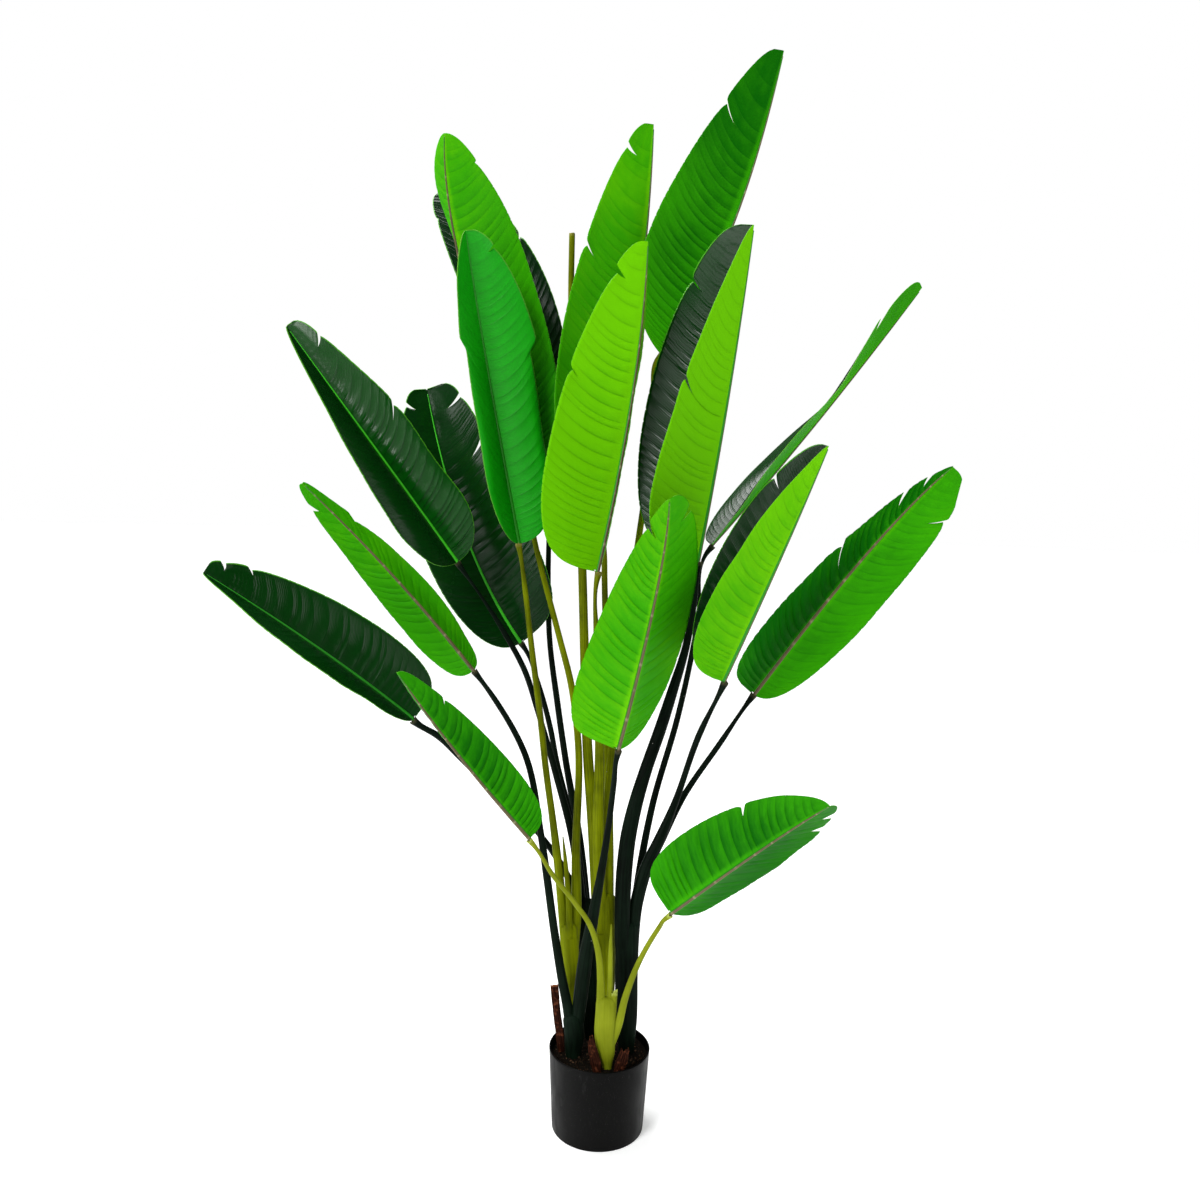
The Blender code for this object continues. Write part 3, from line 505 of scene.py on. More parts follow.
work = bmesh.new()
bmesh.ops.create_icosphere(work, subdivisions=1, radius=1.0)
lump = np.array([vert.co for vert in work.verts])
lump_faces = np.array([[vert.index for vert in face.verts] for face in work.faces])
work.free()
reach = (soil_radius - CRUMB_SIZES[1]) * np.sqrt(rng.uniform(0, 1, CRUMBS))
turn = rng.uniform(0, 2 * math.pi, CRUMBS)
size = CRUMB_SIZES[0] + (CRUMB_SIZES[1] - CRUMB_SIZES[0]) * rng.uniform(0, 1, CRUMBS)**CRUMB_POWER
squash = rng.uniform(*CRUMB_SQUASH, (CRUMBS, 1, 3))
dents = rng.uniform(*CRUMB_DENTS, (CRUMBS, len(lump), 1))
crumb_points = (lump * squash * dents * size[:, None, None]
                + on_soil(reach, turn, CRUMB_LIFT * size)[:, None])
crumb_faces = (lump_faces + (np.arange(CRUMBS) * len(lump))[:, None, None]).reshape(-1, 3)
crumb_tones = np.repeat(rng.uniform(0, 1, CRUMBS)**4, len(lump))
crumb = Finish("soil_crumb", roughness=0.95, specular=0.03)
grain = crumb.noise(900.0)
tone = crumb.times(grain, 0.2, crumb.value("tone"), clamp=True)
crumb.wear(Base_Color=crumb.mix(tone, (0.0020, 0.0016, 0.0014), (0.075, 0.042, 0.024)),
           Normal=crumb.bump(grain, 0.0006))
crumbs = make_object("soil_crumbs", [crumb.material],
                     (crumb_points, [crumb_faces], {"tone": crumb_tones}))
place_piece(crumbs, "potting_soil", "soil")
print("soil triangles:", triangles(soil), "crumbs:", triangles(crumbs))

# %% [markdown]
# ## Routes
#
# Stems, husks and midribs all follow a path that is given by a few points, each with a half
# width. A cubic between each pair of points, with slopes taken from their neighbours, passes
# through them all without a corner. A Blender curve could do it too, but its rings can't be
# ragged, flattened or grooved one by one, so the path is worked out here.

# %% Routes
def path_at(points, share):
    """Rows (x, y, z, half width) of a smooth path at shares between 0 and 1 of its length.

    Each span is the cubic whose end slopes are the changes between the neighbouring points.
    """
    span = np.linalg.norm(np.diff(points[:, :3], axis=0), axis=1)
    knots = np.concatenate([[0.0], np.cumsum(span)])
    slope = np.gradient(points, knots, axis=0)
    place = np.asarray(share) * knots[-1]
    index = np.clip(np.searchsorted(knots, place, side="right") - 1, 0, len(span) - 1)
    length = span[index][..., None]
    t = (place - knots[index])[..., None] / length
    return (points[index] * (2 * t**3 - 3 * t**2 + 1)
            + slope[index] * length * (t**3 - 2 * t**2 + t)
            + points[index + 1] * (3 * t**2 - 2 * t**3)
            + slope[index + 1] * length * (t**3 - t**2))


def path_axes(centre, end_direction=None):
    """Directions along a path, across it nearest to +X, and square to both."""
    along = unit(np.gradient(centre, axis=0))
    if end_direction is not None:
        along[-1] = end_direction
    wide = unit(np.array([1.0, 0.0, 0.0]) - along * along[..., :1])
    return along, wide, np.cross(along, wide)


# %% [markdown]
# ## Scraps of bark
#
# Three dry scraps of sheath stand in the soil, red-brown and torn at the top. Each is a thin
# sheet curled about its own middle line. The rows of the grid stop at a different height in each
# column, which makes the torn edge, and a Solidify modifier gives the sheet its thickness.

# %% Husks
MILLIMETRES = 1000  # in a metre
HUSK_COLUMNS = 27
HUSK_ROWS = 60
HUSK_THICKNESS = 0.0009
HUSK_TEETH = 10
CRUMPLE_TURNS = (1.3, 2.9, 5.3)
CRUMPLE_SHARES = (0.06, 0.10)  # by which it moves the sheet sideways and in, over the half width
# name: (rows of x, y, z, half width in mm; curl in degrees; depth over half width; tear; seed)
HUSKS = {
    "husk_left": (((-64, 0, 118, 4), (-67, 0, 150, 6),
                   (-74, 0, 200, 6.4), (-79, 1, 245, 6)),
                  95, 0.35, 0.02, 3),
    "husk_centre": (((-1, -59, 118, 4), (-6, -60, 142, 8.6),
                     (-12, -60, 168, 6.6), (-16, -59, 190, 3.4)),
                    80, 0.3, 0.2, 5),
    "husk_right": (((27, -58, 118, 4), (34, -59, 138, 8.3),
                    (40, -59, 158, 8.3), (42, -59, 172, 4.9)),
                   85, 0.35, 0.18, 8),
}


def husk_part(rows, curl, depth, tear, seed):
    """A curled scrap. Across runs from -1 to 1, and the sheet bends by curl x across.

    The top of each column falls short by up to the tear's share of the length, and crumples
    push the surface in and out.
    """
    rng = np.random.default_rng(seed)
    rows = np.array(rows) / MILLIMETRES
    across = np.linspace(-1, 1, HUSK_COLUMNS)
    jag = np.interp(across, np.linspace(-1, 1, HUSK_TEETH), rng.uniform(0, 1, HUSK_TEETH))
    even = np.linspace(0, 1, HUSK_ROWS)
    share = even[:, None] * (1 - tear * jag)
    path = path_at(rows, share)
    _, wide, deep = path_axes(path_at(rows, even)[:, :3])
    bend = np.radians(curl) * across
    side = np.sin(bend) / math.sin(math.radians(min(curl, 90)))
    sag = depth * (np.cos(bend) - np.cos(bend[0])) / (1 - math.cos(bend[0]))
    crumple = sum(np.sin(turns * (7 * share + across * 2.5) + rng.uniform(0, 6)) / turns
                  for turns in CRUMPLE_TURNS)
    sideways = path[..., 3] * side * (1 + CRUMPLE_SHARES[0] * crumple)
    inwards = path[..., 3] * (sag - depth / 2 + CRUMPLE_SHARES[1] * crumple)
    place = path[..., :3] + sideways[..., None] * wide[:, None] - inwards[..., None] * deep[:, None]
    return (place, [grid_faces(HUSK_ROWS, HUSK_COLUMNS)],
            {"share": share, "across": np.tile(across, (HUSK_ROWS, 1))})


bark = Finish("dry_bark", roughness=0.8, specular=0.03)
bark_lines = bark.vector(bark.value("across"), bark.value("share"), 0.0)
fibres = bark.noise(9.0, detail=6.0, stretch=(1.0, 0.25, 1.0), vector=bark_lines)
patches = bark.span(bark.noise(130.0, detail=4.0), 0.52, 0.72, 0.0, 0.85)
brown = bark.layers((0.003, 0.001, 0.0008), (bark.span(fibres, 0.35, 0.70), (0.048, 0.013, 0.006)),
                    (patches, (0.150, 0.044, 0.019)),
                    (bark.span(bark.value("share"), 0.955, 0.995, 0.0, 0.8), (0.300, 0.105, 0.042)))
bark.wear(Base_Color=brown, Normal=bark.bump(fibres, 0.0008))
for name, facts in HUSKS.items():
    husk = make_object(name + "_bark", [bark.material], husk_part(*facts))
    thicken(husk, HUSK_THICKNESS, 0.0)
    place_piece(husk, "dry_bark", name)
print("husks:", list(HUSKS))

# %% [markdown]
# ## Plant data
#
# Each leaf is a curved midrib through three points, with a half blade on either side. The same
# facts make the imported solids: where the foot, the middle and the tip are, which way the upper
# side faces, how wide each half is and how steeply it rises. The looks need a few more, such as
# how much a margin waves, how light the leaf's colour is, and the painted light and shade on its
# right half.

# %% Plant data: leaves
LEFT, RIGHT = 0, 1


@dataclass
class Leaf:
    """One blade. Left and right are seen from above, looking from the foot to the tip.

    Its points and half widths are given in millimetres, and kept in metres.
    """

    name: str
    foot: tuple
    middle: tuple
    tip: tuple
    top: tuple  # the direction that the upper side faces
    half_width: tuple
    fold: tuple  # how far each half rises from flat, in degrees
    swell: tuple  # power of each half's outline at the foot: small is broad at once
    point: tuple  # power of each half's outline at the tip: small is blunt
    tip_open: tuple = (0, 0)  # share of the fold that is gone at the tip
    foot_fold: tuple = (0, 0)  # how much further each half rises below the middle, in degrees
    twist: float = 0  # turn of the blade from foot to tip, in degrees
    roll: tuple = ((0, 0.5), (0, 0.5))  # margin's roll in degrees, and the station it is at
    roll_from: float = 0.55  # where the roll begins between midrib and margin
    splits: tuple = ((), ())  # (station, depth, gap at the margin in millimetres) on each half
    arch: float = 16  # how far each half bends over between midrib and margin, in degrees
    relief: tuple = (0.8, 0.8)  # how deep each half's pleats are, next to the usual depth
    tuck: tuple = ((0, 0), (0, 0))  # station below which a margin is tucked in, and share
    ruffle: tuple = ((0, 0), (0, 0))  # share by which a margin waves, station of a bulge
    tone_top: float = 0.15  # lightness of the upper side between its two greens
    tone_under: float = 0.6  # lightness of the underside between its two greens
    tone_tip: float = 0  # how much lighter that is at the tip
    # painted light and shade: raises or lowers the tone of the right half, for how the light falls
    # on it
    painted_side_light: float = 0  # how much lighter both sides are on the right half
    tone_rib: float = 0.2  # lightness of the upper side's midrib between its two greens

    def __post_init__(self):
        for key in ("foot", "middle", "tip", "half_width"):
            setattr(self, key, np.array(getattr(self, key)) / MILLIMETRES)
        self.length = np.linalg.norm(self.tip - self.foot)


LEAVES = (  # name, foot, middle, tip, top, half width, fold, swell, point, then what is special
    Leaf("leaf_top_right", (70, 80, 1305), (176, 85, 1502), (255, 90, 1800), (-0.75, 0.6, 0.25),
         (99, 128), (35, 35), (0.55, 0.58), (0.45, 0.46), splits=((), ((0.9, 0.36, 6),)),
         relief=(0.6, 0.7), tone_under=0.56, tone_tip=-0.42),
    Leaf("leaf_top_centre", (-15, 75, 1095), (30, 75, 1390), (45, 70, 1670), (-0.8, 0.6, 0.1),
         (91, 123), (35, 35), (0.28, 0.36), (0.45, 0.42),
         splits=((), ((0.71, 0.15, 4), (0.965, 0.4, 5))), relief=(0.5, 0.5), tone_under=0.62),
    # this underside is darker towards the foot: painted shade where the leaf in front shades its
    # lower part
    Leaf("leaf_top_left", (-160, 80, 1105), (-265, 80, 1435), (-290, 50, 1640), (0.75, 0.65, 0.2),
         (119, 84), (35, 35), (0.36, 0.36), (0.44, 0.5), splits=(((0.92, 0.18, 4),), ()),
         tip_open=(0.3, 0.95), relief=(0.5, 0.5), tone_under=0.26, tone_tip=0.4),
    Leaf("leaf_top_left_rear", (-120, 190, 1110), (-215, 270, 1425), (-340, 360, 1645),
         (0, -0.95, 0.3), (68, 90), (15, 15), (0.6, 0.6), (0.28, 0.45),
         splits=(((0.93, 0.4, 5),), ((0.75, 0.12, 4),)), relief=(0.5, 0.5), tone_top=0),
    Leaf("leaf_upper_left", (-155, 20, 985), (-215, 20, 1280), (-245, -20, 1470),
         (0.55, -0.85, 0.05), (70, 91), (30, 30), (0.45, 0.4), (0.5, 0.38),
         splits=((), ((0.955, 0.28, 5),)), roll=((-35, 0.3), (-55, 0.3)), roll_from=0.79,
         relief=(0.12, 0.45), tuck=((0.63, 0.22), (0.6, 0.18)), tone_top=1, tone_under=0.3),
    Leaf("leaf_centre", (-25, -20, 945), (20, -60, 1215), (35, -120, 1435), (-0.75, 0.6, 0.2),
         (91, 120), (35, 35), (0.32, 0.32), (0.45, 0.44),
         splits=((), ((0.65, 0.12, 4), (0.95, 0.34, 9))), relief=(0.6, 0.65), tone_under=1),
    Leaf("leaf_upper_right", (135, -20, 965), (170, -40, 1220), (194, -80, 1474),
         (-0.95, -0.25, 0.1), (129, 138), (60, 60), (0.36, 0.3), (0.32, 0.62),
         splits=(((0.9, 0.2, 5),), ((0.62, 0.24, 2),)), arch=3, relief=(0.5, 0.45), tone_under=1.05,
         tone_top=0.05),
    Leaf("leaf_right_rear", (165, 60, 990), (335, 80, 1200), (505, 100, 1430),
         (-0.776, -0.105, 0.617), (72, 72), (6, 6), (0.32, 0.32), (0.35, 0.28),
         splits=((), ((0.9, 0.25, 5),)), foot_fold=(13, 9), tip_open=(-1.6, -3.6), twist=-20,
         relief=(0.12, 0.12), tone_under=0.4, tone_top=0.1),
    Leaf("leaf_mid_right", (175, -90, 785), (250, -115, 980), (305, -155, 1145),
         (-0.95, -0.05, 0.35), (94, 96), (62, 60), (0.36, 0.32), (0.42, 0.62),
         splits=(((0.86, 0.24, 5),), ()), arch=3, relief=(0.35, 0.5), tone_under=0.66, tone_tip=0.3,
         tone_top=0.02),
    Leaf("leaf_far_right", (240, 20, 745), (410, 0, 985), (520, -60, 1125), (0.4, 0.9, -0.1),
         (82, 81), (35, 35), (0.46, 0.18), (0.34, 0.7),
         splits=(((0.85, 0.35, 8),), ((0.55, 0.45, 11), (0.84, 0.45, 10), (0.93, 0.45, 6))),
         relief=(0.35, 1.15), tone_under=0.44, painted_side_light=-0.26),
    Leaf("leaf_front", (15, -100, 675), (60, -170, 915), (70, -260, 1060), (-0.2, 0.9, 0.4),
         (96, 93), (35, 35), (0.46, 0.16), (0.46, 0.66),
         splits=(((0.92, 0.35, 6),), ((0.89, 0.5, 12),)), relief=(0.45, 0.75), tone_under=0.52,
         painted_side_light=0.12),
    Leaf("leaf_low_right", (105, -100, 415), (235, -170, 550), (310, -250, 640), (0.1, 0.85, 0.5),
         (85, 87), (28, 35), (0.3, 0.22), (0.45, 0.5),
         splits=(((0.78, 0.2, 4), (0.9, 0.3, 5)), ((0.62, 0.22, 6),)), relief=(0.35, 0.9),
         tone_under=0.22, painted_side_light=0.12),
    Leaf("leaf_far_left", (-310, -60, 705), (-455, -90, 820), (-610, -140, 935), (0.6, -0.45, 0.65),
         (74, 85), (25, 35), (0.6, 0.24), (0.5, 0.32),
         splits=((), ((0.93, 0.2, 5), (0.98, 0.35, 4))), relief=(0.3, 0.4), tone_top=0.02,
         painted_side_light=0.03),
    Leaf("leaf_mid_left", (-260, 50, 950), (-375, 40, 1105), (-530, 0, 1320), (0.4, -0.9, 0.2),
         (78, 76), (35, 35), (0.4, 0.36), (0.6, 0.28),
         splits=((), ((0.74, 0.24, 6), (0.968, 0.42, 3))), arch=30, relief=(0.15, 0.9),
         ruffle=((0, 0), (0.05, 0.24)), tone_top=0.03, painted_side_light=0.09, tone_rib=1),
    Leaf("leaf_lower_left", (-220, -30, 780), (-340, -70, 930), (-460, -150, 1070),
         (-0.5, 0.85, -0.05), (58, 55), (50, 50), (0.32, 0.32), (0.45, 0.45),
         splits=(((0.84, 0.5, 14),), ((0.95, 0.3, 6),)), roll=((-75, 0.45), (0, 0.5)),
         roll_from=0.62, relief=(0.4, 0.4), tone_under=0.52),
    Leaf("leaf_left_rear", (-155, 100, 810), (-265, 160, 1000), (-350, 250, 1255), (0, -0.95, 0.3),
         (84, 114), (18, 18), (0.45, 0.28), (0.26, 0.22),
         splits=(((0.978, 0.4, 3),), ((0.86, 0.38, 8), (0.972, 0.5, 3))), relief=(0.3, 0.4),
         tone_top=0.02, tone_rib=0.9),
    Leaf("leaf_low_left", (-120, -100, 530), (-220, -160, 670), (-300, -240, 810), (0.2, 0.8, 0.55),
         (54, 52), (45, 45), (0.32, 0.32), (0.45, 0.45), splits=(((0.85, 0.15, 4),), ()),
         relief=(0.8, 0.9), tone_under=0.32),
)
print("leaves:", len(LEAVES))

# %% [markdown]
# ## Leaf form
#
# A leaf of this plant has a stiff midrib, and many straight side veins that leave it nearly
# square and bend towards the tip at the margin. Between the veins the blade is pressed into low
# pleats of uneven width. They swell towards the underside and meet in sharp creases, and the
# blade tears along them, which is what the short splits are. So the surface is a grid whose rows
# follow the veins: a pleat is then a ridge along the rows, and a split is a gap between two rows.
# A subdivided plane with a displacement texture could give the pleats, but its rows wouldn't
# follow the veins and it couldn't split along them.

# %% Leaf form: midrib, outline and half blade
RIB_HALF_WIDTH = 0.004
TIP_HALF_WIDTH = 0.0015
VEIN_LEAD = 0.19
VEIN_SWEEP = 0.55
OPEN_FROM = 0.65
OUTLINE_TAPER = 0.2
ROLL_SPREAD = 0.25
FOOT_FOLD_SPAN = (0.42, 0.72)


def smooth_step(value, low, high):
    """A share that eases from 0 at low to 1 at high: t^2 (3 - 2t)."""
    t = np.clip((value - low) / (high - low), 0, 1)
    return t**2 * (3 - 2 * t)


def midrib(leaf, station):
    """Point, direction, upper-side normal and right-hand side of a midrib.

    The midrib is the parabola through foot, middle and tip, with the middle at station 0.5. The
    normal is the leaf's top direction made square to the midrib and turned by the twist.
    """
    control = 2 * leaf.middle - (leaf.foot + leaf.tip) / 2
    t = np.asarray(station, dtype=float)[..., None]
    point = (1 - t)**2 * leaf.foot + 2 * t * (1 - t) * control + t**2 * leaf.tip
    along = unit(2 * (1 - t) * (control - leaf.foot) + 2 * t * (leaf.tip - control))
    normal = unit(leaf.top - (along @ leaf.top)[..., None] * along)
    right = np.cross(along, normal)
    turn = math.radians(leaf.twist) * t
    return (point, along, normal * np.cos(turn) + right * np.sin(turn),
            right * np.cos(turn) - normal * np.sin(turn))


def outline(leaf, side, station):
    """Half width of one side of a blade at a station between 0 at the foot and 1 at the tip.

    It is station^swell (1 - station)^point (1 - taper station), scaled so that its widest place
    has the leaf's half width.
    """
    def shape(value):
        value = np.clip(value, 0, 1)
        return (value**leaf.swell[side] * (1 - value)**leaf.point[side]
                * (1 - OUTLINE_TAPER * value))

    widest = shape(np.linspace(0, 1, 101)).max()
    least = RIB_HALF_WIDTH + (TIP_HALF_WIDTH - RIB_HALF_WIDTH) * station
    return np.maximum(leaf.half_width[side] * shape(station) / widest, least)


def half_blade(leaf, side, station, across, width):
    """Points of one half of a blade, and its surface's upward direction at each.

    A vein leaves the midrib behind its station, by the lead (1 - exp(-4 station)) (1 -
    station^14), and makes up a share of that, VEIN_SWEEP, by the margin. The half rises by its
    fold, which tip_open lessens towards the tip and foot_fold adds to below the middle, and the
    arch lifts its middle above the straight line to the margin. Past roll_from the margin bends
    on along an arc by its roll.
    """
    lead = VEIN_LEAD * (1 - np.exp(-4 * station)) * (1 - station**14)
    behind = np.clip(station - lead * (1 - VEIN_SWEEP * across**2.2), 0, 1)
    point, _, normal, right = midrib(leaf, behind)
    opened = 1 - leaf.tip_open[side] * smooth_step(station, OPEN_FROM, 1)
    angle, centre = leaf.roll[side]
    roll = math.radians(angle) * np.exp(-((station - centre) / ROLL_SPREAD)**2) + 1e-6
    arch = math.radians(leaf.arch) * np.sin(math.pi * np.clip(station, 0, 1))
    folded = math.radians(leaf.foot_fold[side]) * (1 - smooth_step(station, *FOOT_FOLD_SPAN))
    fold = math.radians(leaf.fold[side]) * opened + folded + arch * (1 - across)
    flat = np.minimum(across, leaf.roll_from)
    slope = fold + roll * np.clip(across - leaf.roll_from, 0, None) / (1 - leaf.roll_from)
    bend = (1 - leaf.roll_from) / roll
    out = width * (flat * np.cos(fold) + bend * (np.sin(slope) - np.sin(fold)))
    rise = width * (flat * np.sin(fold) + bend * (np.cos(fold) - np.cos(slope)))
    outward = right * (-1, 1)[side]
    return (point + out[..., None] * outward + rise[..., None] * normal,
            normal * np.cos(slope)[..., None] - outward * np.sin(slope)[..., None])


# %% Leaf form: pleats, splits and waves
PLEAT_ROWS = (0.0, 0.04, 0.12, 0.24, 0.37, 0.5, 0.63, 0.76, 0.88, 0.96)
BLADE_COLUMNS = 17
PLEAT_WIDTH = 0.0165
PLEAT_SPREAD = (0.55, 1.45)  # widths of single pleats, over the usual width
PLEAT_STRENGTHS = (0.55, 1.0)
PLEAT_DEPTH = 0.0034
PLEAT_START = (0.03, 0.16)
PLEAT_FADE = 0.65
LEAST_PLEATS = 8
FOOT_NOTCH = (0.012, 0.14)
WAVE_HEIGHT = 0.0022
WAVE_TURNS = (1.5, 2.7, 4.6)
SPLIT_REACH = 0.05
SPLIT_LIFT = 0.0022
NOTCH_DEPTH = 0.05
NOTCH_ROUNDING = 0.010
CREASE_NICK = 0.010
SLIT = 2e-6
TUCK_SPAN = (0.05, 0.35)
KINK = 0.03
BOX_MARGIN = 0.0015
CAD_LOW, CAD_HIGH = (np.array(corner) for corner in CAD_BOX)


def pleat_edges(rng, length):
    """Stations where one pleat ends and the next begins, in uneven steps from foot to tip."""
    count = max(LEAST_PLEATS, round(length / PLEAT_WIDTH))
    taper = 0.72 + 0.56 * np.sin(math.pi * np.linspace(0.05, 0.95, count))
    widths = taper * rng.uniform(*PLEAT_SPREAD, count)
    return np.concatenate([[0.0], np.cumsum(widths) / widths.sum()])


def pleat_height(edges, strengths, station):
    """Height from 0 in the crease between two pleats to 1 on a pleat's crest, the crease, and
    the share of the way across the pleat.

    Within a pleat the height is 1 - |2f - 1|^2.2, with f that share.
    """
    index = np.clip(np.searchsorted(edges, station, side="right") - 1, 0, len(edges) - 2)
    share = np.clip((station - edges[index]) / (edges[index + 1] - edges[index]), 0, 1)
    edge = np.abs(2 * share - 1)
    return strengths[index] * (1 - edge**2.2), edge**10, share


def half_sheet(leaf, side, rng):
    """One half of a blade's upper face: points, faces that the splits leave, and point values.

    Its rows are the same few in each pleat and two at each split. The margin's rounded notches,
    the tuck and the ruffle change the width. The height is the pleats' and the splits', and a
    wave: a sum of three sines along the blade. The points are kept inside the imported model's box.
    """
    edges = pleat_edges(rng, leaf.length)
    strengths = rng.uniform(*PLEAT_STRENGTHS, len(edges))
    rows = edges[:-1, None] + np.diff(edges)[:, None] * np.array(PLEAT_ROWS)
    cuts = [station + shift for station, _, _ in leaf.splits[side] for shift in (-SLIT, SLIT)]
    rows = np.sort(np.concatenate([rows.ravel(), [1.0], cuts]))
    even = np.linspace(0, 1, BLADE_COLUMNS)
    columns = 0.5 * even + 0.5 * (0.5 - 0.5 * np.cos(math.pi * even))
    station, across = np.meshgrid(rows, columns, indexing="ij")
    width, moved, lift = outline(leaf, side, station), station.copy(), np.zeros_like(station)
    kept = np.ones((len(rows) - 1, BLADE_COLUMNS - 1), dtype=bool)
    for cut, depth, gap in leaf.splits[side]:
        away, ahead = np.abs(station - cut), np.sign(station - cut)
        opening = np.clip((across - 1 + depth) / depth, 0, 1)
        near = np.exp(-away / SPLIT_REACH)
        moved += ahead * near * opening**1.2 * gap / 2 / MILLIMETRES / leaf.length
        lift += ahead * near * opening * SPLIT_LIFT * rng.choice((-1, 1))
        width -= NOTCH_DEPTH * width * across**4 * np.exp(-away / NOTCH_ROUNDING)
        kept[np.searchsorted(rows, cut) - 1] = False
    kept[(rows[:-1] < FOOT_NOTCH[0])[:, None] & (columns[1:] < FOOT_NOTCH[1])] = False
    pleat, crease, share = pleat_height(edges, strengths, station)
    fade = np.sin(math.pi * station)**0.4
    ridge = (smooth_step(across, *PLEAT_START) * (1 - PLEAT_FADE * smooth_step(across, 0.5, 1.0))
             * leaf.relief[side])
    kink, tucked = leaf.tuck[side]
    below = smooth_step(station, *TUCK_SPAN) * (1 - smooth_step(station, kink - KINK, kink + KINK))
    waved, bulge = leaf.ruffle[side]
    width *= (1 - tucked * below) * (1 + waved * np.cos(4 * math.pi * (station - bulge)))
    wave = sum(np.sin(2 * math.pi * (turns * station + rng.uniform())) / turns
               for turns in WAVE_TURNS)
    height = (WAVE_HEIGHT * wave * across**2 - PLEAT_DEPTH * pleat * ridge) * fade + lift
    width *= 1 - CREASE_NICK * crease * across**6
    place, upward = half_blade(leaf, side, np.clip(moved, 0, 1), across, width)
    # crease and shade drive painted shade: darker in the creases between pleats and towards the
    # foot of each pleat
    values = {"station": station, "across": across, "crease": crease * fade * ridge,
              "shade": (1 - share) * fade * ridge, "edge": width * (1 - across) * MILLIMETRES,
              # the side term paints light and shade on the right half
              "tone_under": leaf.tone_under + leaf.tone_tip * station + leaf.painted_side_light * side,
              "tone_top": np.full_like(station, leaf.tone_top + leaf.painted_side_light * side)}
    quads = grid_faces(len(rows), BLADE_COLUMNS)[kept.ravel()]
    place = place + height[..., None] * upward
    place = np.clip(place, CAD_LOW + BOX_MARGIN, CAD_HIGH - BOX_MARGIN)
    return place, [quads[:, ::-1] if side == LEFT else quads], values


# %% [markdown]
# ## Leaf finishes
#
# The upper side is coated in a deep glossy green, and the underside is printed in a bright matte
# one, so each blade has two materials, and a third along its cut edge, where the sheet shows as a
# thin light line. The colours follow the veins: painted shade darkens the grooves between pleats
# and, on the underside, each pleat towards its foot, and fine parallel lines run along the rows.
# The values that the surface carries, such as how far a point is across the blade, drive them, so
# no pattern slides over the leaf.

# %% Leaf finishes
VEIN_LINES = 46.0


def veined(finish, fibre_share, depth):
    """Fibres along the side veins, from the blade's own values, and a bump of them and lines."""
    station, across = finish.value("station"), finish.value("across")
    vector = finish.vector(across, station, 0.0)
    wander = finish.noise(9.0, detail=2.0, stretch=(0.4, 1.0, 1.0), vector=vector)
    lines = finish.vector(0.0, finish.plus(station, finish.times(wander, 0.012)), 0.0)
    wave = finish.add("TexWave", {"Vector": lines, "Scale": VEIN_LINES}, bands_direction="Y")
    fibres = finish.noise(60.0, stretch=(0.06, 1.0, 1.0), vector=vector)
    height = finish.plus(wave.outputs["Fac"], finish.times(fibres, fibre_share))
    return fibres, finish.bump(height, depth)


# Bright matte green, with painted shade across each pleat and in its dark creases
under = Finish("leaf_underside", roughness=0.55, specular=0.025)
fibres, relief = veined(under, 1.4, 0.00007)
cloud = under.noise(7.0, detail=2.0)
tone = under.plus(under.value("tone_under"), under.times(cloud, 0.5, -0.25))
tone = under.plus(tone, under.times(fibres, 0.24, -0.12), clamp=True)
# painted shade across each pleat, darkest at its foot
tone = under.plus(tone, under.times(under.value("shade"), -0.26))
band = under.span(under.value("across"), 0.05, 0.15, 0.16, 0.0)
tone = under.plus(tone, band, clamp=True)
bright = under.layers(
    (0.0015, 0.100, 0.0004), (under.span(tone, 0.0, 0.55), (0.030, 0.310, 0.0004)),
    (under.span(tone, 0.45, 1.0), (0.135, 0.520, 0.0005)),
    # painted shade in the creases between pleats
    (under.times(under.value("crease"), 0.70), (0.002, 0.090, 0.0004)))
under.wear(Base_Color=bright, Normal=relief)

# Deep glossy green, or a middle green on a lighter leaf, with painted shade in the creases and a
# light line at the margin
upper = Finish("leaf_upper", roughness=0.20, specular=0.17)
fibres, relief = veined(upper, 1.6, 0.00010)
cloud = upper.noise(9.0)
deep = upper.layers(
    upper.mix(cloud, (0.0003, 0.0045, 0.0008), (0.0010, 0.0170, 0.0028)),
    (upper.value("tone_top"), upper.mix(cloud, (0.0003, 0.300, 0.0005), (0.006, 0.460, 0.0010))),
    (upper.times(fibres, 0.35), (0.0012, 0.042, 0.0025)),
    # painted shade in the creases between pleats
    (upper.times(upper.value("crease"), 0.6), (0.0005, 0.008, 0.0015)),
    (upper.span(upper.value("edge"), 0.7, 1.7, 0.85, 0.0), (0.075, 0.330, 0.015)))
gloss = upper.times(upper.value("tone_top"), 0.25, upper.span(cloud, 0.3, 0.7, 0.15, 0.27))
upper.wear(Base_Color=deep, Roughness=gloss, Normal=relief)

# The cut edge of the sheet: light yellow-green, a little uneven
margin = Finish("leaf_margin", roughness=0.6, specular=0.2)
margin.wear(Base_Color=margin.mix(margin.noise(90.0), (0.055, 0.330, 0.010), (0.180, 0.480, 0.030)))
BLADE_FINISHES = [finish.material for finish in (upper, under, margin)]
print("finishes of a blade:", [material.name for material in BLADE_FINISHES])

# %% [markdown]
# ## Leaves
#
# The two halves are made as sheets, joined along the midrib, and given the blade's thickness by
# a Solidify modifier, which also gives the underside and the cut edge their own materials. The
# upper and lower sides need different lightness, so each is a value on the points: the shader of
# each side reads the one that it needs.

# %% Leaves
BLADE_THICKNESS = 0.0008

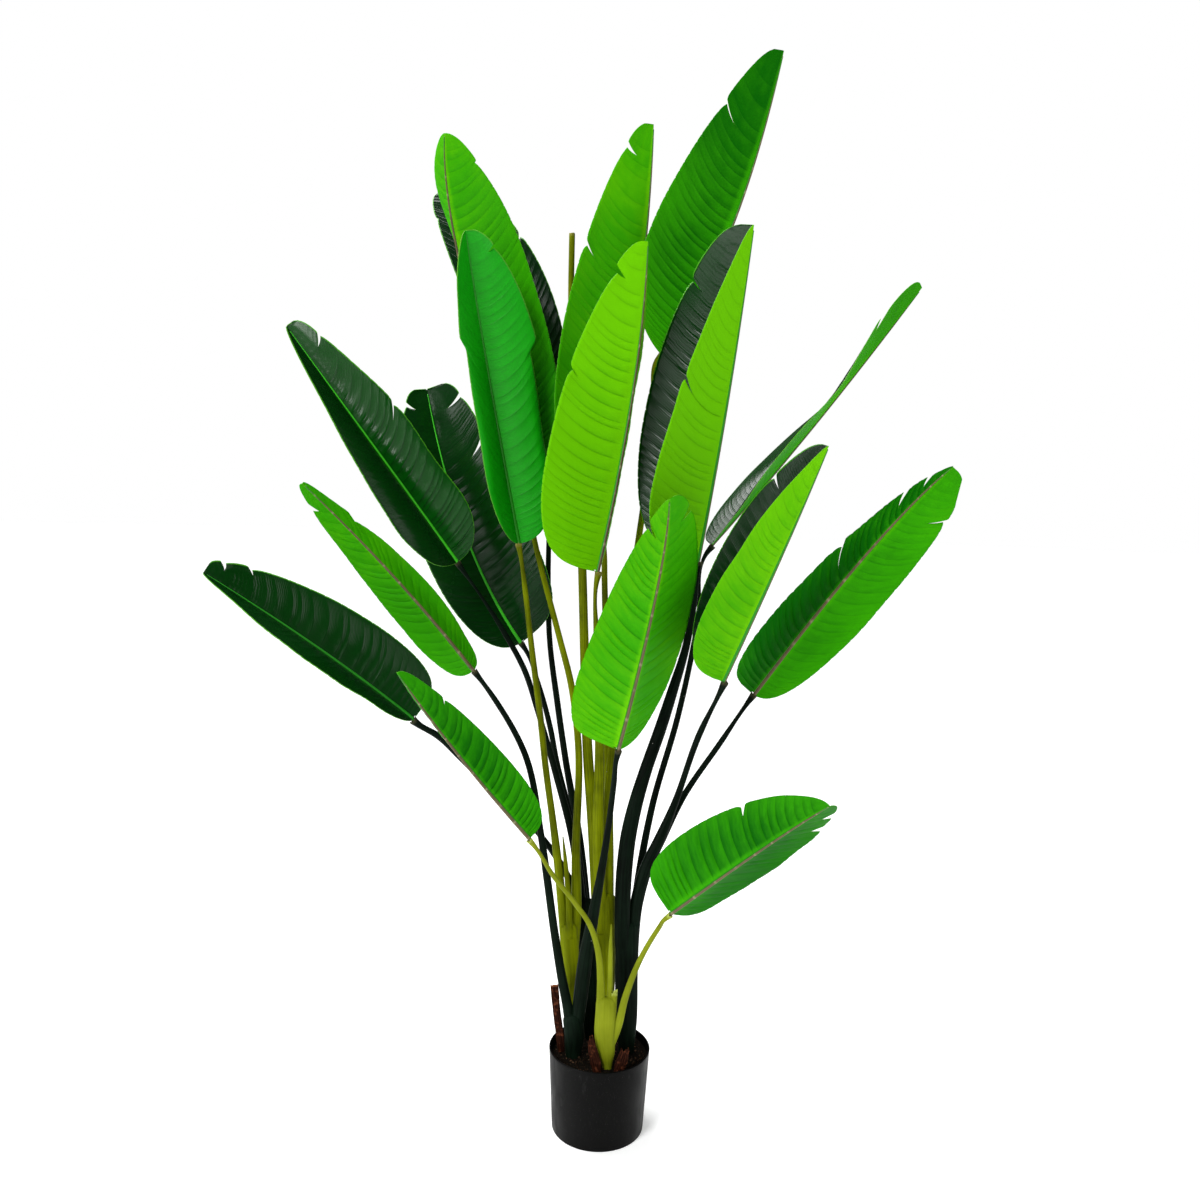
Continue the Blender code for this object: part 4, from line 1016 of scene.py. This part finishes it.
blade_triangles = []
for seed, leaf in enumerate(LEAVES, 1):
    rng = np.random.default_rng(seed)
    blade = make_object(leaf.name + "_blade", BLADE_FINISHES,
                        *(half_sheet(leaf, side, rng) for side in (LEFT, RIGHT)))
    weld(blade, turn_out=False)
    thicken(blade, BLADE_THICKNESS, -1.0, use_even_offset=False, material_offset=1,
            material_offset_rim=2)
    place_piece(blade, "leaf_green", leaf.name)
    blade_triangles.append(triangles(blade))
print("blade triangles:", sum(blade_triangles), "most in one:", max(blade_triangles))

# %% [markdown]
# ## Midribs
#
# On the upper side the midrib is a raised bright green rib, and on the underside it is a taped
# wire that comes out of the stem's sleeve and runs on to the tip, with a pale ring at every few
# centimetres where the tape overlaps. Both are one closed tube: its upper half fills the fold
# between the two halves of the blade, and its lower half is a plain half round.

# %% Midribs
RIB_RINGS = 130
RIB_SIDES = 16
RIB_TOP_WIDTHS = (0.0034, 0.0006)
RIB_FILL = (0.85, 0.30)
WIRE_WIDTHS = (0.0026, 0.0010)
WIRE_RING_SPACING = 0.037
WIRE_RING_WIDTH = 0.0012
WIRE_RING_HEIGHT = 0.14
WIRE_INTO_SLEEVE = 0.006
RIB_END = 0.985
STEM_DROP = 0.0022

rib = Finish("midrib", roughness=0.5, specular=0.3)
cloud = rib.noise(60.0)
green = rib.layers((0.006, 0.200, 0.004), (rib.value("tone"), (0.035, 0.480, 0.004)),
                   (rib.times(cloud, 0.4), (0.010, 0.130, 0.004)))
wire = rib.layers((0.055, 0.048, 0.016), (cloud, (0.150, 0.110, 0.045)),
                  (rib.span(rib.value("station"), 0.86, 0.98), (0.030, 0.190, 0.008)),
                  (rib.times(rib.value("ring"), 0.75), (0.300, 0.290, 0.150)))
rib.wear(Base_Color=rib.mix(rib.span(rib.value("upper"), -0.15, 0.10), wire, green),
         Normal=rib.bump(rib.noise(800.0), 0.0001))


def midrib_part(leaf):
    """A tube whose upper half fills the fold and whose lower half is a wire, thinner to the tip.

    The wire swells at each ring of tape. Its first ring of points stands inside the sleeve.
    """
    station = np.linspace(0, RIB_END, RIB_RINGS)
    point, along, normal, right = midrib(leaf, station)
    start = point[:1] - WIRE_INTO_SLEEVE * along[:1] - normal[:1] * STEM_DROP
    point = np.concatenate([start, point])
    normal, right = (np.concatenate([part[:1], part]) for part in (normal, right))
    share = np.append(0.0, station)[:, None]
    top_half = RIB_TOP_WIDTHS[0] * (1 - share)**0.8 + RIB_TOP_WIDTHS[1] * share
    wire_half = WIRE_WIDTHS[0] * (1 - share) + WIRE_WIDTHS[1] * share
    ring = np.exp(-((share * leaf.length % WIRE_RING_SPACING) / WIRE_RING_WIDTH - 1.5)**2)
    wire_half = wire_half * (1 + WIRE_RING_HEIGHT * ring)
    slope = math.radians(sum(leaf.fold) / 2) + math.radians(leaf.arch) * np.sin(math.pi * share)
    angle = around(RIB_SIDES)
    upper = np.sin(angle) > 0
    across = np.where(upper, top_half, wire_half)
    rise = np.where(upper, top_half * (RIB_FILL[0] * np.tan(slope) + RIB_FILL[1]), wire_half)
    across[0] = rise[0] = wire_half[0]
    across = across * np.cos(angle)
    rise = rise * np.sin(angle) - np.where(upper, 0, BLADE_THICKNESS)
    rings = point[:, None] + across[..., None] * right[:, None] + rise[..., None] * normal[:, None]
    values = {"station": share, "ring": ring, "upper": np.sin(angle), "tone": leaf.tone_rib}
    return closed_tube(rings, point[[0, -1]],
                       {key: value + 0 * across for key, value in values.items()})


rib_triangles = []
for leaf in LEAVES:
    piece = make_object(leaf.name + "_midrib", [rib.material], midrib_part(leaf))
    weld(piece)
    place_piece(piece, "leaf_green", leaf.name)
    rib_triangles.append(triangles(piece))
print("midrib triangles:", sum(rib_triangles))

# %% [markdown]
# ## Stem data
#
# The stems are grouped in six bundles. The first line of a bundle is the thick sheath that
# stands in the pot, and the others grow out of it, each up to the foot of its leaf. One line in
# the front bundle is a young rolled leaf, and one in the olive bundle is a stem with no leaf.

# %% Stem data
ROOT = ROOT_Z * MILLIMETRES
# bundle: (skin, arms), and each arm: (its leaf or, for a stem without one, its ending; rows of
# x, y, z and half width in millimetres)
STEMS = {
    "trunk_front": ("light_stem", (
        ("shoulder", ((13, -47, ROOT, 8.5), (13, -47, 134, 8.5), (12, -47, 152, 13.5),
            (9, -47, 172, 16.5), (8, -47, 238, 16.5))),
        ("leaf_low_left", ((2, -47, 195, 9.5), (0, -47, 245, 7.5), (-2, -48, 285, 5.8),
            (-8, -50, 332, 5), (-21, -54, 372, 4.5), (-47, -62, 413, 4.2), (-82, -78, 463, 4))),
        ("leaf_low_right", ((15, -47, 160, 7.5), (29, -47, 200, 6.8), (39, -48, 248, 5.8),
            (51, -51, 289, 5), (61, -55, 317, 4.6), (75, -62, 350, 4.3), (90, -71, 381, 4))),
        ("shoulder", ((14, -47, 220, 6), (14, -47, 262, 4.5), (13, -49, 330, 3.5),
            (13, -51, 374, 1))),
        ("torn", ((19, -46, 205, 6.8), (20, -46, 235, 6.2), (21, -46, 258, 5.8))),
    )),
    "trunk_left": ("dark_stem", (
        ("shoulder", ((-44, -12, ROOT, 12.5), (-44, -12, 128, 12.5), (-43, -12, 165, 16.5),
            (-46, -12, 190, 16.5))),
        ("leaf_lower_left", ((-47, -12, 155, 9.5), (-56, -12, 215, 8.8), (-64, -12, 252, 8.2),
            (-79, -18, 337, 7), (-94, -30, 441, 6.4), (-105, -40, 516, 5.6), (-135, -45, 654, 5),
            (-181, -38, 732, 4.5))),
        ("leaf_front", ((-41, -12, 155, 10), (-35, -12, 221, 12), (-28, -16, 296, 12.2),
            (-20, -24, 355, 10.5), (-7, -35, 445, 7), (3, -52, 529, 5.2), (10, -78, 615, 4.5))),
    )),
    "trunk_back": ("dark_stem", (
        ("shoulder", ((-12, 50, ROOT, 13), (-12, 50, 128, 13), (-16, 50, 176, 17.5),
            (-22, 50, 266, 18.5), (-30, 50, 365, 16))),
        ("leaf_mid_left", ((-32, 50, 320, 9.5), (-55, 52, 479, 7), (-87, 54, 592, 5.8),
            (-120, 54, 699, 5), (-144, 54, 769, 5), (-178, 54, 830, 4.5))),
        ("leaf_left_rear", ((-28, 55, 320, 9), (-52, 70, 474, 7), (-69, 76, 540, 5.8),
            (-88, 82, 610, 5), (-100, 86, 665, 5), (-122, 92, 738, 4.5))),
        ("leaf_top_left_rear", ((-24, 58, 310, 9), (-45, 90, 470, 6.8), (-72, 115, 597, 5.8),
            (-90, 130, 698, 5.5), (-108, 150, 813, 5), (-113, 160, 900, 5),
            (-115, 175, 1023, 4.5))),
        ("leaf_far_left", ((-30, 50, 310, 8.5), (-54, 48, 398, 6.5), (-91, 40, 464, 5.5),
            (-120, 26, 505, 5), (-207, -22, 603, 5), (-235, -36, 638, 6.5), (-274, -50, 678, 5.5))),
    )),
    "trunk_right": ("dark_stem", (
        ("shoulder", ((46, 6, ROOT, 13), (46, 6, 128, 13), (45, 6, 180, 17.5), (42, 6, 272, 19),
            (43, 6, 345, 18))),
        ("leaf_upper_right", ((38, 4, 240, 11), (32, -2, 380, 13), (33, -6, 449, 13.6),
            (38, -10, 510, 13.4), (49, -14, 570, 12), (62, -16, 620, 10.8), (85, -18, 695, 10),
            (103, -20, 760, 8.5), (119, -20, 820, 6.5), (131, -20, 900, 5))),
        ("leaf_mid_right", ((49, 6, 270, 10), (56, 8, 390, 11), (70, 6, 450, 10.8),
            (90, 1, 500, 9.5), (110, -12, 560, 6.2), (145, -55, 695, 5))),
        ("leaf_far_right", ((50, 6, 270, 10), (57, 9, 390, 10.5), (71, 8, 450, 10),
            (93, 6, 500, 8.5), (127, 6, 572, 5.6), (186, 14, 663, 4.8))),
        ("leaf_right_rear", ((48, 8, 270, 9), (56, 26, 400, 7), (78, 44, 540, 5.8),
            (118, 52, 700, 5), (146, 56, 860, 4.5))),
    )),
    "trunk_olive_left": ("olive_stem", (
        ("shoulder", ((-46, 24, ROOT, 8.5), (-46, 24, 128, 8.5), (-48, 22, 183, 10.5),
            (-52, 20, 279, 14.2), (-57, 20, 335, 14.5))),
        ("leaf_upper_left", ((-60, 20, 280, 8), (-79, 18, 452, 7.2), (-89, 16, 524, 6.2),
            (-103, 14, 615, 5.6), (-113, 12, 696, 5.5), (-132, 14, 826, 4.8),
            (-142, 18, 900, 4.5))),
        ("leaf_top_left", ((-51, 21, 270, 9.5), (-46, 26, 360, 9.4), (-49, 30, 463, 7.4),
            (-50, 34, 652, 5.8), (-65, 40, 753, 5.5), (-85, 46, 824, 5), (-130, 58, 980, 4.5))),
        ("shoulder", ((-55, 14, 320, 6), (-60, 13, 400, 4.8), (-67, 12, 465, 3),
            (-71, 12, 497, 1))),
    )),
    "trunk_olive_centre": ("olive_stem", (
        ("shoulder", ((10, 18, ROOT, 10.5), (10, 18, 128, 10.5), (10, 20, 192, 12.5),
            (8, 20, 279, 16), (1, 22, 386, 19.5))),
        ("cut", ((-6, 22, 330, 11), (-20, 30, 500, 9.8), (-34, 40, 640, 8.5), (-44, 50, 808, 7.5),
            (-51, 56, 939, 7), (-82, 78, 1393, 5), (-83, 82, 1497, 5))),
        ("leaf_centre", ((0, 16, 330, 10.5), (-12, 10, 510, 9.5), (-14, 2, 650, 7.5),
            (-24, -10, 833, 5))),
        ("leaf_top_centre", ((4, 24, 330, 10), (2, 44, 560, 7.8), (-4, 60, 760, 6),
            (-14, 72, 950, 5))),
        ("leaf_top_right", ((9, 22, 330, 10.5), (6, 26, 450, 10), (4, 32, 566, 8.2),
            (12, 50, 700, 6.2), (35, 70, 930, 5.5), (55, 80, 1120, 5), (60, 80, 1230, 4.5))),
    )),
}
print("bundles:", len(STEMS), "stems:", sum(len(arms) for _, arms in STEMS.values()))

# %% [markdown]
# ## Stem finishes
#
# The stems are soft plastic over wire. The fresh ones are light green, some are olive, and the
# older ones are so dark that only a dull sheen shows them. All have fine fibres along their
# length, a paler worn rim where the sleeve ends, and a speck of pale dust here and there. The
# fibres read the distance along the stem and the direction around it, so they bend with it.

# %% Stem finishes
# skin: (dark, light and rim colours, how much the fibres count, how much lighter the foot is)
SKIN_LOOKS = {
    "light_stem": ((0.115, 0.142, 0.003), (0.235, 0.280, 0.013),
                   (0.480, 0.560, 0.120), 0.4, 0.0),
    "olive_stem": ((0.050, 0.064, 0.0004), (0.190, 0.235, 0.0006),
                   (0.260, 0.230, 0.060), 0.8, 0.14),
    "dark_stem": ((0.0006, 0.0018, 0.0009), (0.0042, 0.0112, 0.0058),
                  (0.060, 0.060, 0.030), 0.9, 0.0),
}

SKINS = {}
for name, (dark, light, rim, contrast, foot_light) in SKIN_LOOKS.items():
    skin = Finish(name, roughness=0.48, specular=0.03)
    line = skin.vector(skin.value("around_x"), skin.value("around_y"),
                       skin.times(skin.value("along"), 9.0))
    fibres = skin.noise(5.0, detail=5.0, stretch=(1.0, 1.0, 0.35), vector=line)
    height = skin.add("SeparateXYZ", {"Vector": skin.place}).outputs["Z"]
    lower = skin.plus(skin.span(height, 0.30, 0.62, foot_light, 0.0), 0.05 - contrast / 2)
    uneven = skin.times(skin.noise(16.0), 0.9, lower)
    cells = skin.add("TexVoronoi", {"Vector": skin.place, "Scale": 55.0}).outputs
    chance = skin.add("SeparateColor", {"Color": cells["Color"]}).outputs["Red"]
    speck = skin.times(skin.span(cells["Distance"], 0.030, 0.045, 1.0, 0.0),
                       skin.math("GREATER_THAN", chance, 0.90))
    colour = skin.layers(
        dark, (skin.span(skin.times(fibres, contrast, uneven), 0.15, 0.85), light),
        (skin.times(speck, 0.7), (0.45, 0.45, 0.40)), (skin.times(skin.value("rim"), 0.8), rim))
    SKINS[name] = skin.wear(Base_Color=colour, Normal=skin.bump(fibres, 0.0006, 0.6))
print("skins:", list(SKINS))

# %% [markdown]
# ## Stems
#
# Each stem is a tube of many rings along its route, and a bundle is one mesh of several closed
# tubes that run into each other at the crotches, as the moulded sheaths do. The thick sheath is
# oval. How a tube ends depends on what it is: a sleeve ends in a ragged hollow mouth that the
# wire comes out of, a sheath in a rounded shoulder, and a bare stem in a clean cut.

# %% Stems
STEM_SIDES = 26
STEM_RING_SPACING = 0.006
LEAST_RINGS = 6
TRUNK_FLATNESS = 0.62
STEM_GAP = 0.0008
SHEATH_LENGTH = 0.010
SHEATH_SWELL = 1.25
RIM_LENGTH = 0.004
RIPPLES = ((0.022, 2, 7), (0.016, 5, -5), (0.005, 0, 40))  # size, turns around, turns along
# ending: (how ragged, rows of (radius, distance past the end), both over the last half width)
ENDINGS = {
    "sleeve": (0.0011, ((1.00, 0.00), (0.90, 0.16), (0.74, 0.02), (0.62, -0.45))),
    "shoulder": (0.0, ((0.96, 0.22), (0.82, 0.46), (0.55, 0.64), (0.25, 0.72))),
    "torn": (0.0035, ((1.00, 0.00), (0.88, 0.06), (0.76, -0.06), (0.60, -0.50))),
    "cut": (0.0004, ((0.97, 0.05), (0.80, 0.07), (0.50, 0.03), (0.20, 0.00))),
}
LEAF_CALLED = {leaf.name: leaf for leaf in LEAVES}


def stem_part(goal, rows, tip_flatness, rng):
    """One stem as a closed tube, up to the foot of its leaf or to an ending of its own.

    The radius is the path's half width times 1 + ripples round and along the stem. The mouth is
    pushed up and down the stem by a sum of sines, to be ragged.
    """
    rows, direction = np.array(rows) / MILLIMETRES, None
    if goal in LEAF_CALLED:
        point, direction, normal, _ = midrib(LEAF_CALLED[goal], 0.0)
        end, width = point - direction * STEM_GAP - normal * STEM_DROP, rows[-1, 3]
        rows = np.vstack([rows, [*(end - direction * SHEATH_LENGTH), width],
                          [*end, width * SHEATH_SWELL]])
    ending = goal if goal in ENDINGS else "sleeve"
    ragged, shape = ENDINGS[ending]
    length = np.linalg.norm(np.diff(rows[:, :3], axis=0), axis=1).sum()
    count = max(LEAST_RINGS, round(length / STEM_RING_SPACING))
    path = path_at(rows, np.linspace(0, 1, count))
    axes, last = path_axes(path[:, :3], direction), path[-1, 3]
    radius, beyond = np.array(shape).T
    centre = np.concatenate([path[:, :3], path[-1, :3] + axes[0][-1] * (beyond * last)[:, None]])
    half = np.append(path[:, 3], radius * last)[:, None]
    along, wide, deep = (np.vstack([part, np.repeat(part[-1:], len(radius), axis=0)])[:, None]
                         for part in axes)
    distance = np.append(np.linspace(0, length, count), length + beyond * last)[:, None]
    angle = around(STEM_SIDES)
    phases = rng.uniform(0, 2 * math.pi, 5)
    rippled = half * (1 + sum(size * np.sin(turns * angle + phase + waves * distance)
                              for (size, turns, waves), phase in zip(RIPPLES, phases)))
    flat = np.linspace(TRUNK_FLATNESS, tip_flatness, len(half))[:, None]
    across, depth = rippled * np.cos(angle), rippled * np.sin(angle) * flat
    near_end = np.exp(-(length - np.minimum(distance, length)) / RIM_LENGTH)
    jag = ragged * near_end * (np.sin(3 * angle + phases[3]) + 0.6 * np.sin(7 * angle + phases[4]))
    rings = (centre[:, None] + across[..., None] * wide + depth[..., None] * deep
             + jag[..., None] * along)
    inside = np.arange(len(half))[:, None] >= count
    rim = np.maximum(near_end**2.5, inside) * (ending != "shoulder")
    values = {"along": distance, "around_x": np.cos(angle), "around_y": np.sin(angle), "rim": rim}
    return closed_tube(rings, centre[[0, -1]],
                       {key: value + 0 * across for key, value in values.items()})


stem_triangles = []
for seed, (name, (skin, arms)) in enumerate(STEMS.items(), 1):
    rng = np.random.default_rng(seed)
    bundle = make_object(name + "_stems", [SKINS[skin]],
                         *(stem_part(*arm, 1.0 if number else TRUNK_FLATNESS, rng)
                           for number, arm in enumerate(arms)))
    weld(bundle, distance=1e-7)
    place_piece(bundle, skin, name)
    stem_triangles.append(triangles(bundle))
print("stem triangles:", sum(stem_triangles), "most in one:", max(stem_triangles))
